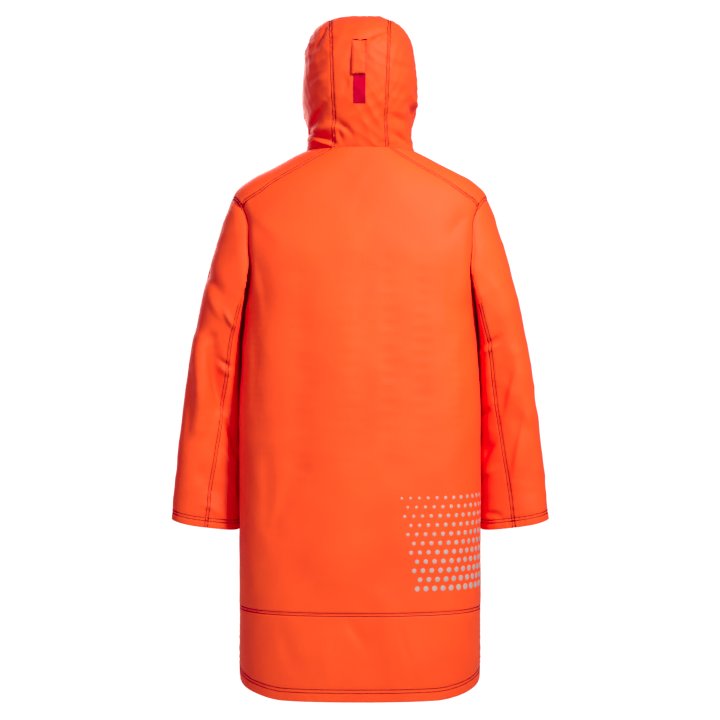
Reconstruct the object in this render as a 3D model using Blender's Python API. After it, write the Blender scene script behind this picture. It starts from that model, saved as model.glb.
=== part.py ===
"""Knee-length hooded warm-up coat, filled out as if worn, arms hanging.

Units are metres, +Z is up. The front faces -Y, the wearer's left is +X, and the
origin lies between the shoulders at the height of the neck seam.
Every cloth piece is a wall worked out from three shapes: the torso tube, the
sleeve tube and the hood. Each is a function of two parameters.
"""
import math

import bpy
import numpy as np

# ---- driving dimensions ----
WALL = 0.003            # padded shell cloth
SEAM = 0.0003           # gap left between neighbouring pieces
BAND_SEAM = -0.885      # height of the seam above the hem band
HEM = -1.048            # height of the hem at centre back and front
NECK = -0.003           # height of the neck seam at the back and sides
SHOULDER_ROWS = 5
SIDE_ROWS = 13
SEAT_STEP = 15.0        # degrees between points round the armhole
SLEEVE_ROWS = 15
SLEEVE_GATHER = 1.25    # power that draws the sleeve's rows towards the armhole
OUTER_SPAN = 240.0      # degrees of the sleeve tube that its outer piece is divided for
HOOD_ROWS = 16
BACK_COLUMNS = 16
FRONT_COLUMNS = 8
FRONT_YOKE = -0.055     # height at centre front of the row that starts at the armhole's top
FRONT_EDGE = 0.004      # half the gap between the fronts, where the zip shows

# torso rings: height, half width, depth to back, depth to front, squareness,
# and how far the ring drops at centre front
TORSO = np.array([
    # height  half    back    front   square  drop
    (-1.060, 0.2330, 0.1520, 0.1520, 2.60, 0.000),
    (-0.885, 0.2340, 0.1490, 0.1490, 2.60, 0.000),
    (-0.740, 0.2345, 0.1475, 0.1475, 2.60, 0.000),
    (-0.600, 0.2350, 0.1460, 0.1460, 2.60, 0.000),
    (-0.480, 0.2335, 0.1440, 0.1440, 2.60, 0.000),
    (-0.380, 0.2275, 0.1420, 0.1420, 2.60, 0.000),
    (-0.305, 0.2245, 0.1400, 0.1400, 2.60, 0.000),
    (-0.250, 0.2370, 0.1360, 0.1370, 2.60, 0.000),
    (-0.200, 0.2465, 0.1310, 0.1330, 2.60, 0.000),
    (-0.150, 0.2500, 0.1230, 0.1280, 2.45, 0.006),
    (-0.0975, 0.2485, 0.1120, 0.1210, 2.30, 0.015),
    (-0.078, 0.2370, 0.1070, 0.1170, 2.25, 0.022),
    (-0.0585, 0.2115, 0.1010, 0.1120, 2.20, 0.030),
    (-0.039, 0.1745, 0.0940, 0.1080, 2.15, 0.038),
    (-0.020, 0.1390, 0.0860, 0.1040, 2.10, 0.046),
    (NECK, 0.1040, 0.0780, 0.1000, 2.10, 0.052),
])

# back-set shoulder seam, from the armhole to the neck: height, angle from the side
SHOULDER_SEAM = np.array([
    (-0.1149, 29.4), (-0.104, 33.0), (-0.0906, 39.5), (-0.064, 45.0),
    (-0.0374, 50.0), (-0.0108, 55.0), (NECK, 57.0),
])

# armhole: a rounded loop in the torso's angle and height
ARMHOLE_ANGLE = 36.0
ARMHOLE_MIDDLE = -0.2000
ARMHOLE_HALF_HEIGHT = 0.1044
ARMHOLE_SQUARE = (2.4, 3.4)     # squareness at its foot and at its top
ARMHOLE_TURN = 0.5      # cosine below its middle at which the foot's squareness begins
ARMHOLE_JOIN = 45.0     # where the shoulder seam meets the loop, in degrees from its top

# sleeve sections from armhole to cuff: outer edge, inner edge, half depth, centre, and
# how far the inner edge lies in front, round the body
SLEEVE = np.array([
    # along  outer x  outer z  inner x  inner z  depth   centre y  wrap
    (0.00, 0.2485, -0.0956, 0.2245, -0.3044, 0.083, 0.000, 0.000),
    (0.06, 0.2640, -0.1340, 0.2305, -0.3290, 0.084, 0.000, 0.004),
    (0.15, 0.2830, -0.1950, 0.2330, -0.3680, 0.084, -0.002, 0.014),
    (0.30, 0.3080, -0.2925, 0.2340, -0.4340, 0.081, -0.005, 0.032),
    (0.50, 0.3345, -0.4250, 0.2340, -0.5220, 0.075, -0.008, 0.046),
    (0.75, 0.3555, -0.5900, 0.2335, -0.6300, 0.069, -0.011, 0.046),
    (1.00, 0.3690, -0.7195, 0.2335, -0.7390, 0.064, -0.012, 0.042),
])
SLEEVE_BLEND = 0.30     # share of the sleeve over which it leaves the armhole's loop
CUFF_BOW = 0.004        # how far the cuff's edge hangs lower between its two edges
SLEEVE_SQUARE = 2.2
CORNER_SQUARE = 2.0     # what the inner back corner of the sleeve adds to that
CORNER_START = 0.10     # share of the sleeve at which that corner begins
# angle of the sleeve's back and front seams from its outer edge
SLEEVE_SEAM = np.array([
    (0.0, 120.0), (0.3, 118.0), (0.5, 113.0), (0.7, 104.0), (0.85, 97.0), (1.0, 93.0),
])

# hood ribs from the neck, over the crown, to the face edge
HOOD = np.array([
    # along  half    square  back y   back z   face x  face y   face z   strip
    (0.000, 0.1040, 2.10, 0.0780, -0.003, FRONT_EDGE, -0.1000, -0.055, 0.0525),
    (0.125, 0.1015, 2.30, 0.0960, 0.045, 0.0420, -0.1200, -0.025, 0.0490),
    (0.250, 0.1045, 2.50, 0.1160, 0.098, 0.0660, -0.1320, 0.010, 0.0515),
    (0.375, 0.1125, 2.60, 0.1230, 0.152, 0.0820, -0.1380, 0.050, 0.0535),
    (0.500, 0.1095, 2.60, 0.1130, 0.203, 0.0870, -0.1410, 0.090, 0.0555),
    (0.625, 0.1070, 2.60, 0.0750, 0.241, 0.0870, -0.1420, 0.122, 0.0565),
    (0.750, 0.1035, 2.60, 0.0120, 0.2575, 0.0850, -0.1420, 0.146, 0.0570),
    (0.875, 0.0995, 2.60, -0.0600, 0.255, 0.0830, -0.1415, 0.162, 0.0565),
    (1.000, 0.0970, 2.60, -0.1280, 0.243, 0.0820, -0.1400, 0.172, 0.0560),
])

HOOD_BLEND = 0.25       # share of the hood over which it leaves the neck ring
HOOD_COLUMNS = 6        # across the centre panel

# hem corners at the side vents
CORNER_RISE = 0.033
CORNER_LENGTH = 0.170
CORNER_POWER = 1.4
CORNER_RADIUS = 0.018
VENT_TOP = 0.15         # degrees from the side line at the band seam
VENT_FOOT = 1.6         # degrees from the side line at the hem
VENT_LEAN = 0.03        # length along the hem over which that lean fades
BAND_ROWS = 4
VENT_SHARES = np.array([0.0, 0.006, 0.025, 0.06, 0.12, 0.20])    # columns by a vent
BACK_SHARES = np.linspace(0.28, 0.72, 8)    # columns between the two vents' own
FRONT_SHARES = np.linspace(0.46, 1.0, 5)    # columns from the vent's own to the zip
FRONT_SPREAD = 1.8      # how much wider the vent's columns lie on the shorter front band

# soft folds: from (x, z) to (x, z), width, height, and +1 for the back, -1 for the front
FOLDS = [
    # x0      z0      x1      z1     width  height  side
    (0.045, -0.300, 0.030, -0.800, 0.045, 0.0030, 1),
    (0.125, -0.250, 0.110, -0.860, 0.035, -0.0030, 1),
    (-0.080, -0.280, -0.115, -0.820, 0.040, -0.0030, 1),
    (-0.175, -0.350, -0.170, -0.800, 0.030, 0.0025, 1),
    (-0.040, -0.860, -0.100, -0.980, 0.025, 0.0035, 1),
    (0.130, -0.610, 0.170, -0.720, 0.030, -0.0035, 1),
    (0.090, -0.320, 0.100, -0.820, 0.035, -0.0030, -1),
    (-0.095, -0.320, -0.090, -0.820, 0.035, -0.0030, -1),
    (0.150, -0.300, 0.150, -0.850, 0.030, 0.0025, -1),
    (-0.150, -0.300, -0.150, -0.850, 0.030, 0.0025, -1),
    (0.305, -0.370, 0.312, -0.540, 0.016, 0.0050, 1),
    (0.285, -0.370, 0.268, -0.500, 0.013, -0.0070, 1),
    (-0.300, -0.400, -0.325, -0.520, 0.016, 0.0045, 1),
    (-0.310, -0.530, -0.335, -0.660, 0.018, -0.0040, 1),
    (0.300, -0.360, 0.275, -0.520, 0.020, -0.0045, -1),
    (-0.300, -0.360, -0.275, -0.520, 0.020, -0.0045, -1),
    (0.088, 0.030, 0.052, 0.034, 0.010, 0.0060, 1),
]
FOLD_SIDE_DEPTH = 0.030     # over this depth a fold fades out past the side line

# hood tab and its strip, on the centre panel
TAB_WIDTH = 0.0283
TAB_CENTRE = 0.0009
TAB_TOP = 0.194
TAB_FOOT = 0.129
TAB_WALL = 0.0016
TAB_SEWN = 0.010
TAB_SEWN_LIFT = 0.0005
TAB_FREE_LIFT = 0.0042
STRIP_WIDTH = 0.0226
STRIP_TOP = 0.152
STRIP_FOOT = 0.076
STRIP_WALL = 0.0012
STRIP_LIFT = 0.0004
TAB_EASE = 0.030        # length over which the tab lifts off
PATCH_ROWS = 8
PATCH_COLUMNS = 4
CENTRE_TOP = 0.6        # share of the hood up to which its centre line keeps rising
CENTRE_STEPS = 400

# centre-front zip
TAPE_INNER = 0.0004
TAPE_OUTER = 0.0160
TAPE_DEPTH = 0.0036
TAPE_WALL = 0.0012
TAPE_FOOT = -1.030
TAPE_TOP = -0.006
TAPE_ROWS = 28
TAPE_COLUMNS = 2
SLIDER_HEIGHT = -0.0585
SLIDER_HALF_WIDTH = 0.0037
SLIDER_SLOT = 0.0023
SLIDER_HALF_LENGTH = 0.0055
SLIDER_BACK = 0.0030
SLIDER_BASE = -0.0012
SLIDER_FACE = -0.0052
PULL_NECK = 0.0019
PULL_HALF_WIDTH = 0.0040
PULL_LENGTH = 0.034
PULL_THICKNESS = 0.0014
PULL_PIVOT = -0.0032
PULL_HEAD = 0.0016      # top of the pull above its pivot
PULL_NECK_FOOT = -0.008
PULL_SHOULDER = -0.011
PULL_TURN = 30          # degrees between points round the pull's foot
SLIDER_SPAN = 0.004     # length of the zip that gives the slider its lean

FLIP = [0, 3, 2, 1]     # turns a quad over and keeps its diagonal
SLOPE_STEPS = (1e-3, 1e-4)      # steps in a shape's two parameters that find its slope

ORANGE = (1.0, 0.10, 0.026)
PINK = (0.78, 0.006, 0.035)
MAROON = (0.14, 0.02, 0.015)
METAL = (0.25, 0.24, 0.24)


# ---- interpolation ----
def curve(table, column, at):
    """A smooth curve through one column of a table, against its first column."""
    order = np.argsort(table[:, 0])
    x, y = table[order, 0], table[order, column]
    slope = np.gradient(y, x)
    at = np.clip(np.asarray(at, float), x[0], x[-1])
    i = np.clip(np.searchsorted(x, at, side="right") - 1, 0, len(x) - 2)
    step = x[i + 1] - x[i]
    t = (at - x[i]) / step
    return (y[i] * (1 + 2 * t) * (1 - t) ** 2 + slope[i] * step * t * (1 - t) ** 2
            + y[i + 1] * t * t * (3 - 2 * t) - slope[i + 1] * step * t * t * (1 - t))


def ease(t):
    """0 to 1 with level ends."""
    t = np.clip(t, 0.0, 1.0)
    return t * t * (3 - 2 * t)


def round_off(angle, square):
    """Cosine and sine of an angle in radians, on a squared-off circle."""
    c, s = np.cos(angle), np.sin(angle)
    reach = (np.abs(c) ** square + np.abs(s) ** square) ** (1 / square)
    return c / reach, s / reach


# ---- the three shapes ----
def torso(angle, height):
    """Torso tube: a squared ellipse ring at each height, angle in degrees from +X."""
    half, back, front, square, drop = (curve(TORSO, k, height) for k in range(1, 6))
    c, s = round_off(np.radians(angle), square)
    fall = drop * np.maximum(0.0, -np.sin(np.radians(angle))) ** 2
    return np.stack([half * c, np.where(s > 0, back, front) * s, height - fall], -1)


def armhole(turn):
    """Angle and height of the armhole loop, turn in degrees from its top to the back."""
    turn = np.radians(turn)
    foot, top = ARMHOLE_SQUARE
    square = foot + (top - foot) * ease(np.cos(turn) + ARMHOLE_TURN)
    c, s = round_off(turn, square)
    return ARMHOLE_ANGLE * s, ARMHOLE_MIDDLE + ARMHOLE_HALF_HEIGHT * c


def sleeve_section(turn, along):
    """A squared ellipse between the outer and inner edges of the left sleeve."""
    ox, oz, ix, iz, depth, centre, wrap = (curve(SLEEVE, k, along) for k in range(1, 8))
    turn = np.radians(turn)
    corner = np.where(np.sin(turn) > 0, np.maximum(0.0, -np.sin(2 * turn)), 0.0)
    square = SLEEVE_SQUARE + CORNER_SQUARE * corner * ease((along - CORNER_START) / SLEEVE_BLEND)
    c, s = round_off(turn, square)
    return np.stack([(ox + ix) / 2 + (ox - ix) / 2 * c,
                     centre + depth * s - wrap * (1 - c) / 2,
                     (oz + iz) / 2 + (oz - iz) / 2 * c - CUFF_BOW * s ** 2 * along ** 4], -1)


def sleeve(turn, along):
    """Left sleeve tube, drawn to the armhole's own loop at its head."""
    head = torso(*armhole(turn)) - sleeve_section(turn, np.zeros_like(along))
    hold = 1 - ease(along / SLEEVE_BLEND)
    return sleeve_section(turn, along) + head * hold[..., None]


def hood_ring(turn, along):
    """One rib of the hood: a squared ellipse from centre back round to the face edge."""
    half, square, by, bz, fx, fy, fz = (curve(HOOD, k, along) for k in range(1, 8))
    c, s = round_off(turn, square)
    face = -(1 - (fx / half) ** square) ** (1 / square)
    share = (1 - c) / (1 - face)
    return np.stack([half * s, by + (fy - by) * share, bz + (fz - bz) * share], -1)


def hood(turn, along):
    """Left half of the hood, turn in radians from centre back; the base is the neck ring."""
    ring = torso(90 - np.degrees(turn), np.full_like(along, NECK))
    hold = 1 - ease(along / HOOD_BLEND)
    base = ring - hood_ring(turn, np.zeros_like(along))
    return hood_ring(turn, along) + base * hold[..., None]


def hood_turn(x, along, front=False):
    """The turn at which a rib is at the given distance from the centre line."""
    half, square = curve(HOOD, 1, along), curve(HOOD, 2, along)
    share = x / half
    rest = np.maximum(0.0, 1 - np.abs(share) ** square) ** (1 / square)
    return np.arctan2(share, -rest if front else rest)


# ---- from shapes to walls ----
def relief(points):
    """How far the soft folds move each point outwards."""
    total = np.zeros(points.shape[:-1])
    x, y, z = points[..., 0], points[..., 1], points[..., 2]
    for x0, z0, x1, z1, width, height, side in FOLDS:
        run = np.array((x1 - x0, z1 - z0))
        t = np.clip(((x - x0) * run[0] + (z - z0) * run[1]) / (run @ run), 0, 1)
        gap = np.hypot(x - x0 - t * run[0], z - z0 - t * run[1])
        total += height * np.exp(-(gap / width) ** 2) * ease(side * y / FOLD_SIDE_DEPTH)
    return total


def surface(shape, u, v, mirror=False):
    """Points and outward normals of a shape, with its folds."""
    du, dv = SLOPE_STEPS
    points = shape(u, v)
    across = shape(u + du, v) - shape(u - du, v)
    along = shape(u, v + dv) - shape(u, v - dv)
    normals = np.cross(across, along)
    normals /= np.linalg.norm(normals, axis=-1, keepdims=True)
    if shape is hood or shape is sleeve:
        normals = -normals
    if mirror:
        flip = np.array((-1.0, 1.0, 1.0))
        points, normals = points * flip, normals * flip
    return points + normals * relief(points)[..., None], normals


def patch(rows, columns, start=0):
    """Quads of a grid of points, row by row."""
    i, j = np.meshgrid(np.arange(rows - 1), np.arange(columns - 1), indexing="ij")
    a = (start + i * columns + j).ravel()
    return np.stack([a, a + 1, a + columns + 1, a + columns], -1)


def weld(uv, quads):
    """Joins the parameter points that lie on each other."""
    keys = np.round(uv, 7)
    _, first, inverse = np.unique(keys, axis=0, return_index=True, return_inverse=True)
    return uv[first], inverse.ravel()[quads]


def border(quads):
    """The directed edges that belong to one quad only, with that quad's number."""
    edges = np.stack([quads, np.roll(quads, -1, axis=1)], -1).reshape(-1, 2)
    owner = np.repeat(np.arange(len(quads)), 4)
    seen = set(map(tuple, edges.tolist()))
    keep = np.array([(b, a) not in seen for a, b in edges.tolist()])
    return edges[keep], owner[keep]


def draw_in(points, quads, edges, owner, distance):
    """Moves the border points into the piece, square to the border."""
    centre = points[quads[owner]].mean(axis=1)
    a, b = points[edges[:, 0]], points[edges[:, 1]]
    run = b - a
    run /= np.linalg.norm(run, axis=1, keepdims=True)
    inward = centre - (a + b) / 2
    inward -= (inward * run).sum(axis=1, keepdims=True) * run
    inward /= np.linalg.norm(inward, axis=1, keepdims=True)
    total = np.zeros_like(points)
    np.add.at(total, edges[:, 0], inward)
    np.add.at(total, edges[:, 1], inward)
    size = (total ** 2).sum(axis=1)
    on = size > 1e-9
    total[on] *= 2 / size[on][:, None]
    return points + total * distance


def material(name, colour, roughness=0.6, metallic=0.0):
    made = bpy.data.materials.new(name)
    made.use_nodes = True
    shader = made.node_tree.nodes["Principled BSDF"]
    shader.inputs["Base Color"].default_value = (*colour, 1.0)
    shader.inputs["Roughness"].default_value = roughness
    shader.inputs["Metallic"].default_value = metallic
    return made


def add_object(name, points, faces, colour, roughness=0.6, metallic=0.0):
    mesh = bpy.data.meshes.new(name)
    mesh.from_pydata([tuple(p) for p in points], [], [tuple(f) for f in faces])
    mesh.update()
    mesh.shade_smooth()
    mesh.materials.append(material(name + "_finish", colour, roughness, metallic))
    made = bpy.data.objects.new(name, mesh)
    bpy.context.scene.collection.objects.link(made)
    return made


def wall(name, shape, uv, quads, colour=ORANGE, mirror=False, depth=0.0, thickness=WALL):
    """A closed wall: the shape's points outside, the same points moved in, and a rim."""
    points, normals = surface(shape, uv[:, 0], uv[:, 1], mirror)
    a, b, c = points[quads[0, 0]], points[quads[0, 1]], points[quads[0, 2]]
    if np.cross(b - a, c - b) @ normals[quads[0, 0]] < 0:
        quads = quads[:, FLIP]
    edges, owner = border(quads)
    depth = np.broadcast_to(np.asarray(depth, float), len(points))[:, None]
    points = draw_in(points, quads, edges, owner, SEAM / 2) - normals * depth
    count = len(points)
    inner = points - normals * thickness
    rim = np.stack([edges[:, 1], edges[:, 0], edges[:, 0] + count, edges[:, 1] + count], -1)
    faces = np.concatenate([quads, quads[:, FLIP] + count, rim])
    return add_object(name, np.concatenate([points, inner]), faces, colour)


# ---- torso panels ----
def side_edge():
    """Angle and height up the back panel's edge: side seam, armhole, shoulder seam."""
    side = np.linspace(BAND_SEAM, ARMHOLE_MIDDLE - ARMHOLE_HALF_HEIGHT, SIDE_ROWS + 1)
    turns = np.arange(180.0 - SEAT_STEP, ARMHOLE_JOIN - 1, -SEAT_STEP)
    hole_angle, hole_height = armhole(turns)
    return (np.concatenate([np.zeros(SIDE_ROWS + 1), hole_angle, shoulder_seam()[1:, 0]]),
            np.concatenate([side, hole_height, shoulder_seam()[1:, 1]]))


def shoulder_seam():
    """Angle and height along the back-set shoulder seam, from the armhole to the neck."""
    t = np.linspace(0, 1, SHOULDER_ROWS + 1)
    start = armhole(np.array([ARMHOLE_JOIN]))
    heights = start[1][0] + (NECK - start[1][0]) * t
    angles = curve(SHOULDER_SEAM, 1, heights)
    angles[0] = start[0][0]
    return np.stack([angles, heights], -1)


def run_share(angles, heights):
    """Share of the way along a line on the torso, at each of its points."""
    steps = np.linalg.norm(np.diff(torso(angles, heights), axis=0), axis=1)
    length = np.concatenate([[0.0], np.cumsum(steps)])
    return length / length[-1]


def back_panel():
    angles, heights = side_edge()
    middle = BAND_SEAM + (NECK - BAND_SEAM) * run_share(angles, heights)
    s = np.linspace(0, 1, BACK_COLUMNS + 1)
    bow = 1 - (1 - 2 * s) ** 2
    u = angles[:, None] + (180 - 2 * angles[:, None]) * s
    v = heights[:, None] + (middle - heights)[:, None] * bow
    uv = np.stack([u, v], -1).reshape(-1, 2)
    wall("back_panel", torso, uv, patch(len(angles), BACK_COLUMNS + 1))


def centre_front(height, x=FRONT_EDGE):
    """Angle on the torso of a line at a distance from the centre front."""
    return -90 + np.degrees(np.arctan(x / curve(TORSO, 1, height)))


def neck_ring(count):
    """Angles along the front's neck edge, from the shoulder seam to the centre front."""
    return np.linspace(SHOULDER_SEAM[-1, 1], centre_front(NECK), count)


def front_panel(name, mirror):
    side = np.linspace(BAND_SEAM, ARMHOLE_MIDDLE - ARMHOLE_HALF_HEIGHT, SIDE_ROWS + 1)
    turns = np.arange(180.0 + SEAT_STEP, 360.5, SEAT_STEP)
    hole_angle, hole_height = armhole(turns)
    angles = np.concatenate([np.zeros(SIDE_ROWS + 1), hole_angle])
    heights = np.concatenate([side, hole_height])
    share = run_share(angles, heights)
    middle = BAND_SEAM + (FRONT_YOKE - BAND_SEAM) * share
    s = np.linspace(0, 1, FRONT_COLUMNS + 1)
    bow = 1 - (1 - s) ** 2
    v = heights[:, None] + (middle - heights)[:, None] * bow
    u = angles[:, None] + (centre_front(middle) - angles)[:, None] * s
    lower = np.stack([u, v], -1)
    over = np.arange(ARMHOLE_JOIN, 0.5, -SEAT_STEP)
    foot = np.concatenate([np.stack(armhole(over), -1), lower[-1]])
    seam = shoulder_seam()
    columns = len(foot)
    ring = np.linspace(0, 1, columns)
    top = np.stack([neck_ring(columns), np.full(columns, NECK)], -1)
    t = np.linspace(0, 1, SHOULDER_ROWS + 1)[:, None, None]
    upper = foot * (1 - t) + top * t
    upper += (seam - upper[:, 0])[:, None] * (1 - ring)[None, :, None]
    uv = np.concatenate([lower.reshape(-1, 2), upper.reshape(-1, 2)])
    quads = np.concatenate([patch(len(angles), FRONT_COLUMNS + 1),
                            patch(SHOULDER_ROWS + 1, columns, lower.size // 2)])
    wall(name, torso, *weld(uv, quads), mirror=mirror)


# ---- hem bands ----
def hem_height(distance):
    """Height of the hem at a distance along it from the vent: it rises to a round corner."""
    far = np.clip(1 - distance / CORNER_LENGTH, 0, 1) ** CORNER_POWER
    near = np.clip(1 - distance / CORNER_RADIUS, 0, 1)
    return HEM + CORNER_RISE * far + CORNER_RADIUS * (1 - np.sqrt(1 - near ** 2))


def hem_band(name, start, end, vents, mirror=False):
    """A band below the band seam, with a round corner at each vent."""
    if vents == 2:
        share = np.concatenate([VENT_SHARES, BACK_SHARES, 1 - VENT_SHARES[::-1]])
    else:
        share = np.concatenate([VENT_SHARES * FRONT_SPREAD, FRONT_SHARES])
    angles = start + (end - start) * share
    ring = torso(angles, np.full(len(angles), HEM))
    length = np.concatenate([[0.0], np.cumsum(np.linalg.norm(np.diff(ring, axis=0), axis=1))])
    distance = np.minimum(length, length[-1] - length) if vents == 2 else length
    foot = hem_height(distance)
    t = np.linspace(0, 1, BAND_ROWS + 1)[:, None]
    heights = foot + (BAND_SEAM - foot) * t
    lean = np.exp(-distance / VENT_LEAN) * (VENT_FOOT - VENT_TOP) * (1 - t)
    if vents == 2:
        lean = lean * np.where(share < 0.5, 1, -1)
    else:
        lean = lean * np.sign(end - start)
        lean = lean + np.where(share == 1.0, centre_front(heights) - end, 0.0)
    uv = np.stack([np.broadcast_to(angles, heights.shape) + lean, heights], -1)
    wall(name, torso, uv.reshape(-1, 2), patch(BAND_ROWS + 1, len(angles)), mirror=mirror)


# ---- sleeves ----
def sleeve_piece(name, under, mirror):
    along = np.linspace(0, 1, SLEEVE_ROWS + 1)[:, None] ** SLEEVE_GATHER
    seam = curve(SLEEVE_SEAM, 1, along)
    if under:
        columns = int((360.0 - OUTER_SPAN) / SEAT_STEP)
        turn = seam + (360 - 2 * seam) * np.linspace(0, 1, columns + 1)
    else:
        columns = int(OUTER_SPAN / SEAT_STEP)
        turn = seam * np.linspace(-1, 1, columns + 1)
    uv = np.stack([turn, np.broadcast_to(along, turn.shape)], -1).reshape(-1, 2)
    wall(name, sleeve, uv, patch(SLEEVE_ROWS + 1, columns + 1), mirror=mirror)


# ---- hood ----
def hood_center():
    along = np.linspace(0, 1, HOOD_ROWS + 1)[:, None]
    x = curve(HOOD, 8, along) * np.linspace(-1, 1, HOOD_COLUMNS + 1)
    uv = np.stack([hood_turn(x, along), np.broadcast_to(along, x.shape)], -1)
    wall("hood_center", hood, uv.reshape(-1, 2), patch(HOOD_ROWS + 1, HOOD_COLUMNS + 1))


def hood_side(name, mirror):
    along = np.linspace(0, 1, HOOD_ROWS + 1)[:, None]
    start = hood_turn(curve(HOOD, 8, along), along)
    end = hood_turn(curve(HOOD, 5, along), along, front=True)
    neck = np.radians(90 - neck_ring(FRONT_COLUMNS + 4))
    share = np.concatenate([[0.0], (neck - start[0]) / (neck[-1] - start[0])])
    turn = start + (end - start) * share
    uv = np.stack([turn, np.broadcast_to(along, turn.shape)], -1).reshape(-1, 2)
    wall(name, hood, uv, patch(HOOD_ROWS + 1, len(share)), mirror=mirror)


def hood_along(height):
    """Where the hood's centre line reaches a height, going up from the neck."""
    steps = np.linspace(0, CENTRE_TOP, CENTRE_STEPS)
    return np.interp(height, curve(HOOD, 4, steps), steps)


def hood_patch(name, width, top, foot, lift, thickness, colour):
    """A small piece on the centre panel: the panel's own points moved out by its lift."""
    heights = np.linspace(foot, top, PATCH_ROWS + 1)[:, None]
    along = np.broadcast_to(hood_along(heights), (PATCH_ROWS + 1, PATCH_COLUMNS + 1))
    x = TAB_CENTRE + width * np.linspace(-0.5, 0.5, PATCH_COLUMNS + 1) * np.ones_like(along)
    uv = np.stack([hood_turn(x, along), along], -1).reshape(-1, 2)
    raised = np.repeat(lift(heights.ravel()), PATCH_COLUMNS + 1) + thickness
    wall(name, hood, uv, patch(PATCH_ROWS + 1, PATCH_COLUMNS + 1), colour, depth=-raised,
         thickness=thickness)


def hood_fastening():
    def tab_lift(height):
        free = ease((TAB_TOP - TAB_SEWN - height) / TAB_EASE)
        return TAB_SEWN_LIFT + (TAB_FREE_LIFT - TAB_SEWN_LIFT) * free

    def strip_lift(height):
        return np.full(len(height), STRIP_LIFT)

    hood_patch("hood_tab", TAB_WIDTH, TAB_TOP, TAB_FOOT, tab_lift, TAB_WALL, ORANGE)
    hood_patch("hood_tab_strip", STRIP_WIDTH, STRIP_TOP, STRIP_FOOT, strip_lift,
               STRIP_WALL, PINK)


# ---- zip ----
def zip_tape(name, mirror):
    heights = np.linspace(TAPE_FOOT, TAPE_TOP, TAPE_ROWS + 1)[:, None]
    x = np.linspace(TAPE_INNER, TAPE_OUTER, TAPE_COLUMNS + 1)
    angles = centre_front(heights, x)
    uv = np.stack([angles, np.broadcast_to(heights, angles.shape)], -1).reshape(-1, 2)
    wall(name, torso, uv, patch(TAPE_ROWS + 1, TAPE_COLUMNS + 1), MAROON, mirror, depth=TAPE_DEPTH,
         thickness=TAPE_WALL)


def extrude(name, outline, low, high, axis, colour):
    """A plate: an outline in two of the axes, extruded along the third."""
    flat = np.array(outline)
    count = len(flat)
    ends = []
    for level in (low, high):
        ends.append(np.insert(flat, axis, level, axis=1))
    points = np.concatenate(ends)
    i = np.arange(count)
    j = (i + 1) % count
    sides = np.stack([i, j, j + count, i + count], -1).tolist()
    faces = [i[::-1].tolist(), (i + count).tolist()] + sides
    area = sum(a[0] * b[1] - b[0] * a[1] for a, b in zip(outline, outline[1:] + outline[:1]))
    if (area < 0) != (axis == 1):
        faces = [face[::-1] for face in faces]
    return add_object(name, points, faces, colour, roughness=0.35, metallic=1.0)


def zip_hardware():
    """Slider body, a channel whose cheeks hold the pull, and the pull on its pivot."""
    at, above = (torso(np.array([-90.0]), np.array([SLIDER_HEIGHT + rise]))[0]
                 for rise in (0, SLIDER_SPAN))
    lean = -math.atan2(above[1] - at[1], above[2] - at[2])
    w, s = SLIDER_HALF_WIDTH, SLIDER_SLOT
    channel = [(-w, SLIDER_BACK), (-w, SLIDER_FACE), (-s, SLIDER_FACE), (-s, SLIDER_BASE),
               (s, SLIDER_BASE), (s, SLIDER_FACE), (w, SLIDER_FACE), (w, SLIDER_BACK)]
    slider = extrude("zip_slider", channel, -SLIDER_HALF_LENGTH, SLIDER_HALF_LENGTH, 2, METAL)
    slider.location = at
    slider.rotation_euler = (lean, 0, 0)
    half = PULL_HALF_WIDTH
    turns = np.radians(np.arange(0, 181, PULL_TURN))
    foot = [(-half * math.cos(t), -PULL_LENGTH + half - half * math.sin(t)) for t in turns]
    outline = ([(PULL_NECK, PULL_HEAD), (-PULL_NECK, PULL_HEAD), (-PULL_NECK, PULL_NECK_FOOT),
                (-half, PULL_SHOULDER)] + foot
               + [(half, PULL_SHOULDER), (PULL_NECK, PULL_NECK_FOOT)])
    pull = extrude("zip_pull", outline, -PULL_THICKNESS / 2, PULL_THICKNESS / 2, 1, METAL)
    pull.location = at + PULL_PIVOT * np.array((0, math.cos(lean), math.sin(lean)))
    pull.rotation_euler = (lean, 0, 0)


def main():
    for thing in list(bpy.data.objects):
        bpy.data.objects.remove(thing, do_unlink=True)
    back_panel()
    hem_band("hem_band_back", VENT_TOP, 180 - VENT_TOP, vents=2)
    hood_center()
    for side, mirror in (("left", False), ("right", True)):
        front_panel("front_" + side, mirror)
        hem_band("hem_band_front_" + side, -VENT_TOP, -90.0, vents=1, mirror=mirror)
        sleeve_piece(f"sleeve_{side}_outer", False, mirror)
        sleeve_piece(f"sleeve_{side}_under", True, mirror)
        hood_side("hood_side_" + side, mirror)
        zip_tape("zip_tape_" + side, mirror)
    hood_fastening()
    zip_hardware()


main()
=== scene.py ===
"""Hooded warm-up coat: the finished cloth, sewing, zip and studio round the fixed frame.

Every cloth piece is a grid of points on one of three shapes, the torso tube, the
sleeve tube and the hood, moved outwards by its folds and by the pull of its seams.
"""
import math

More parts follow.
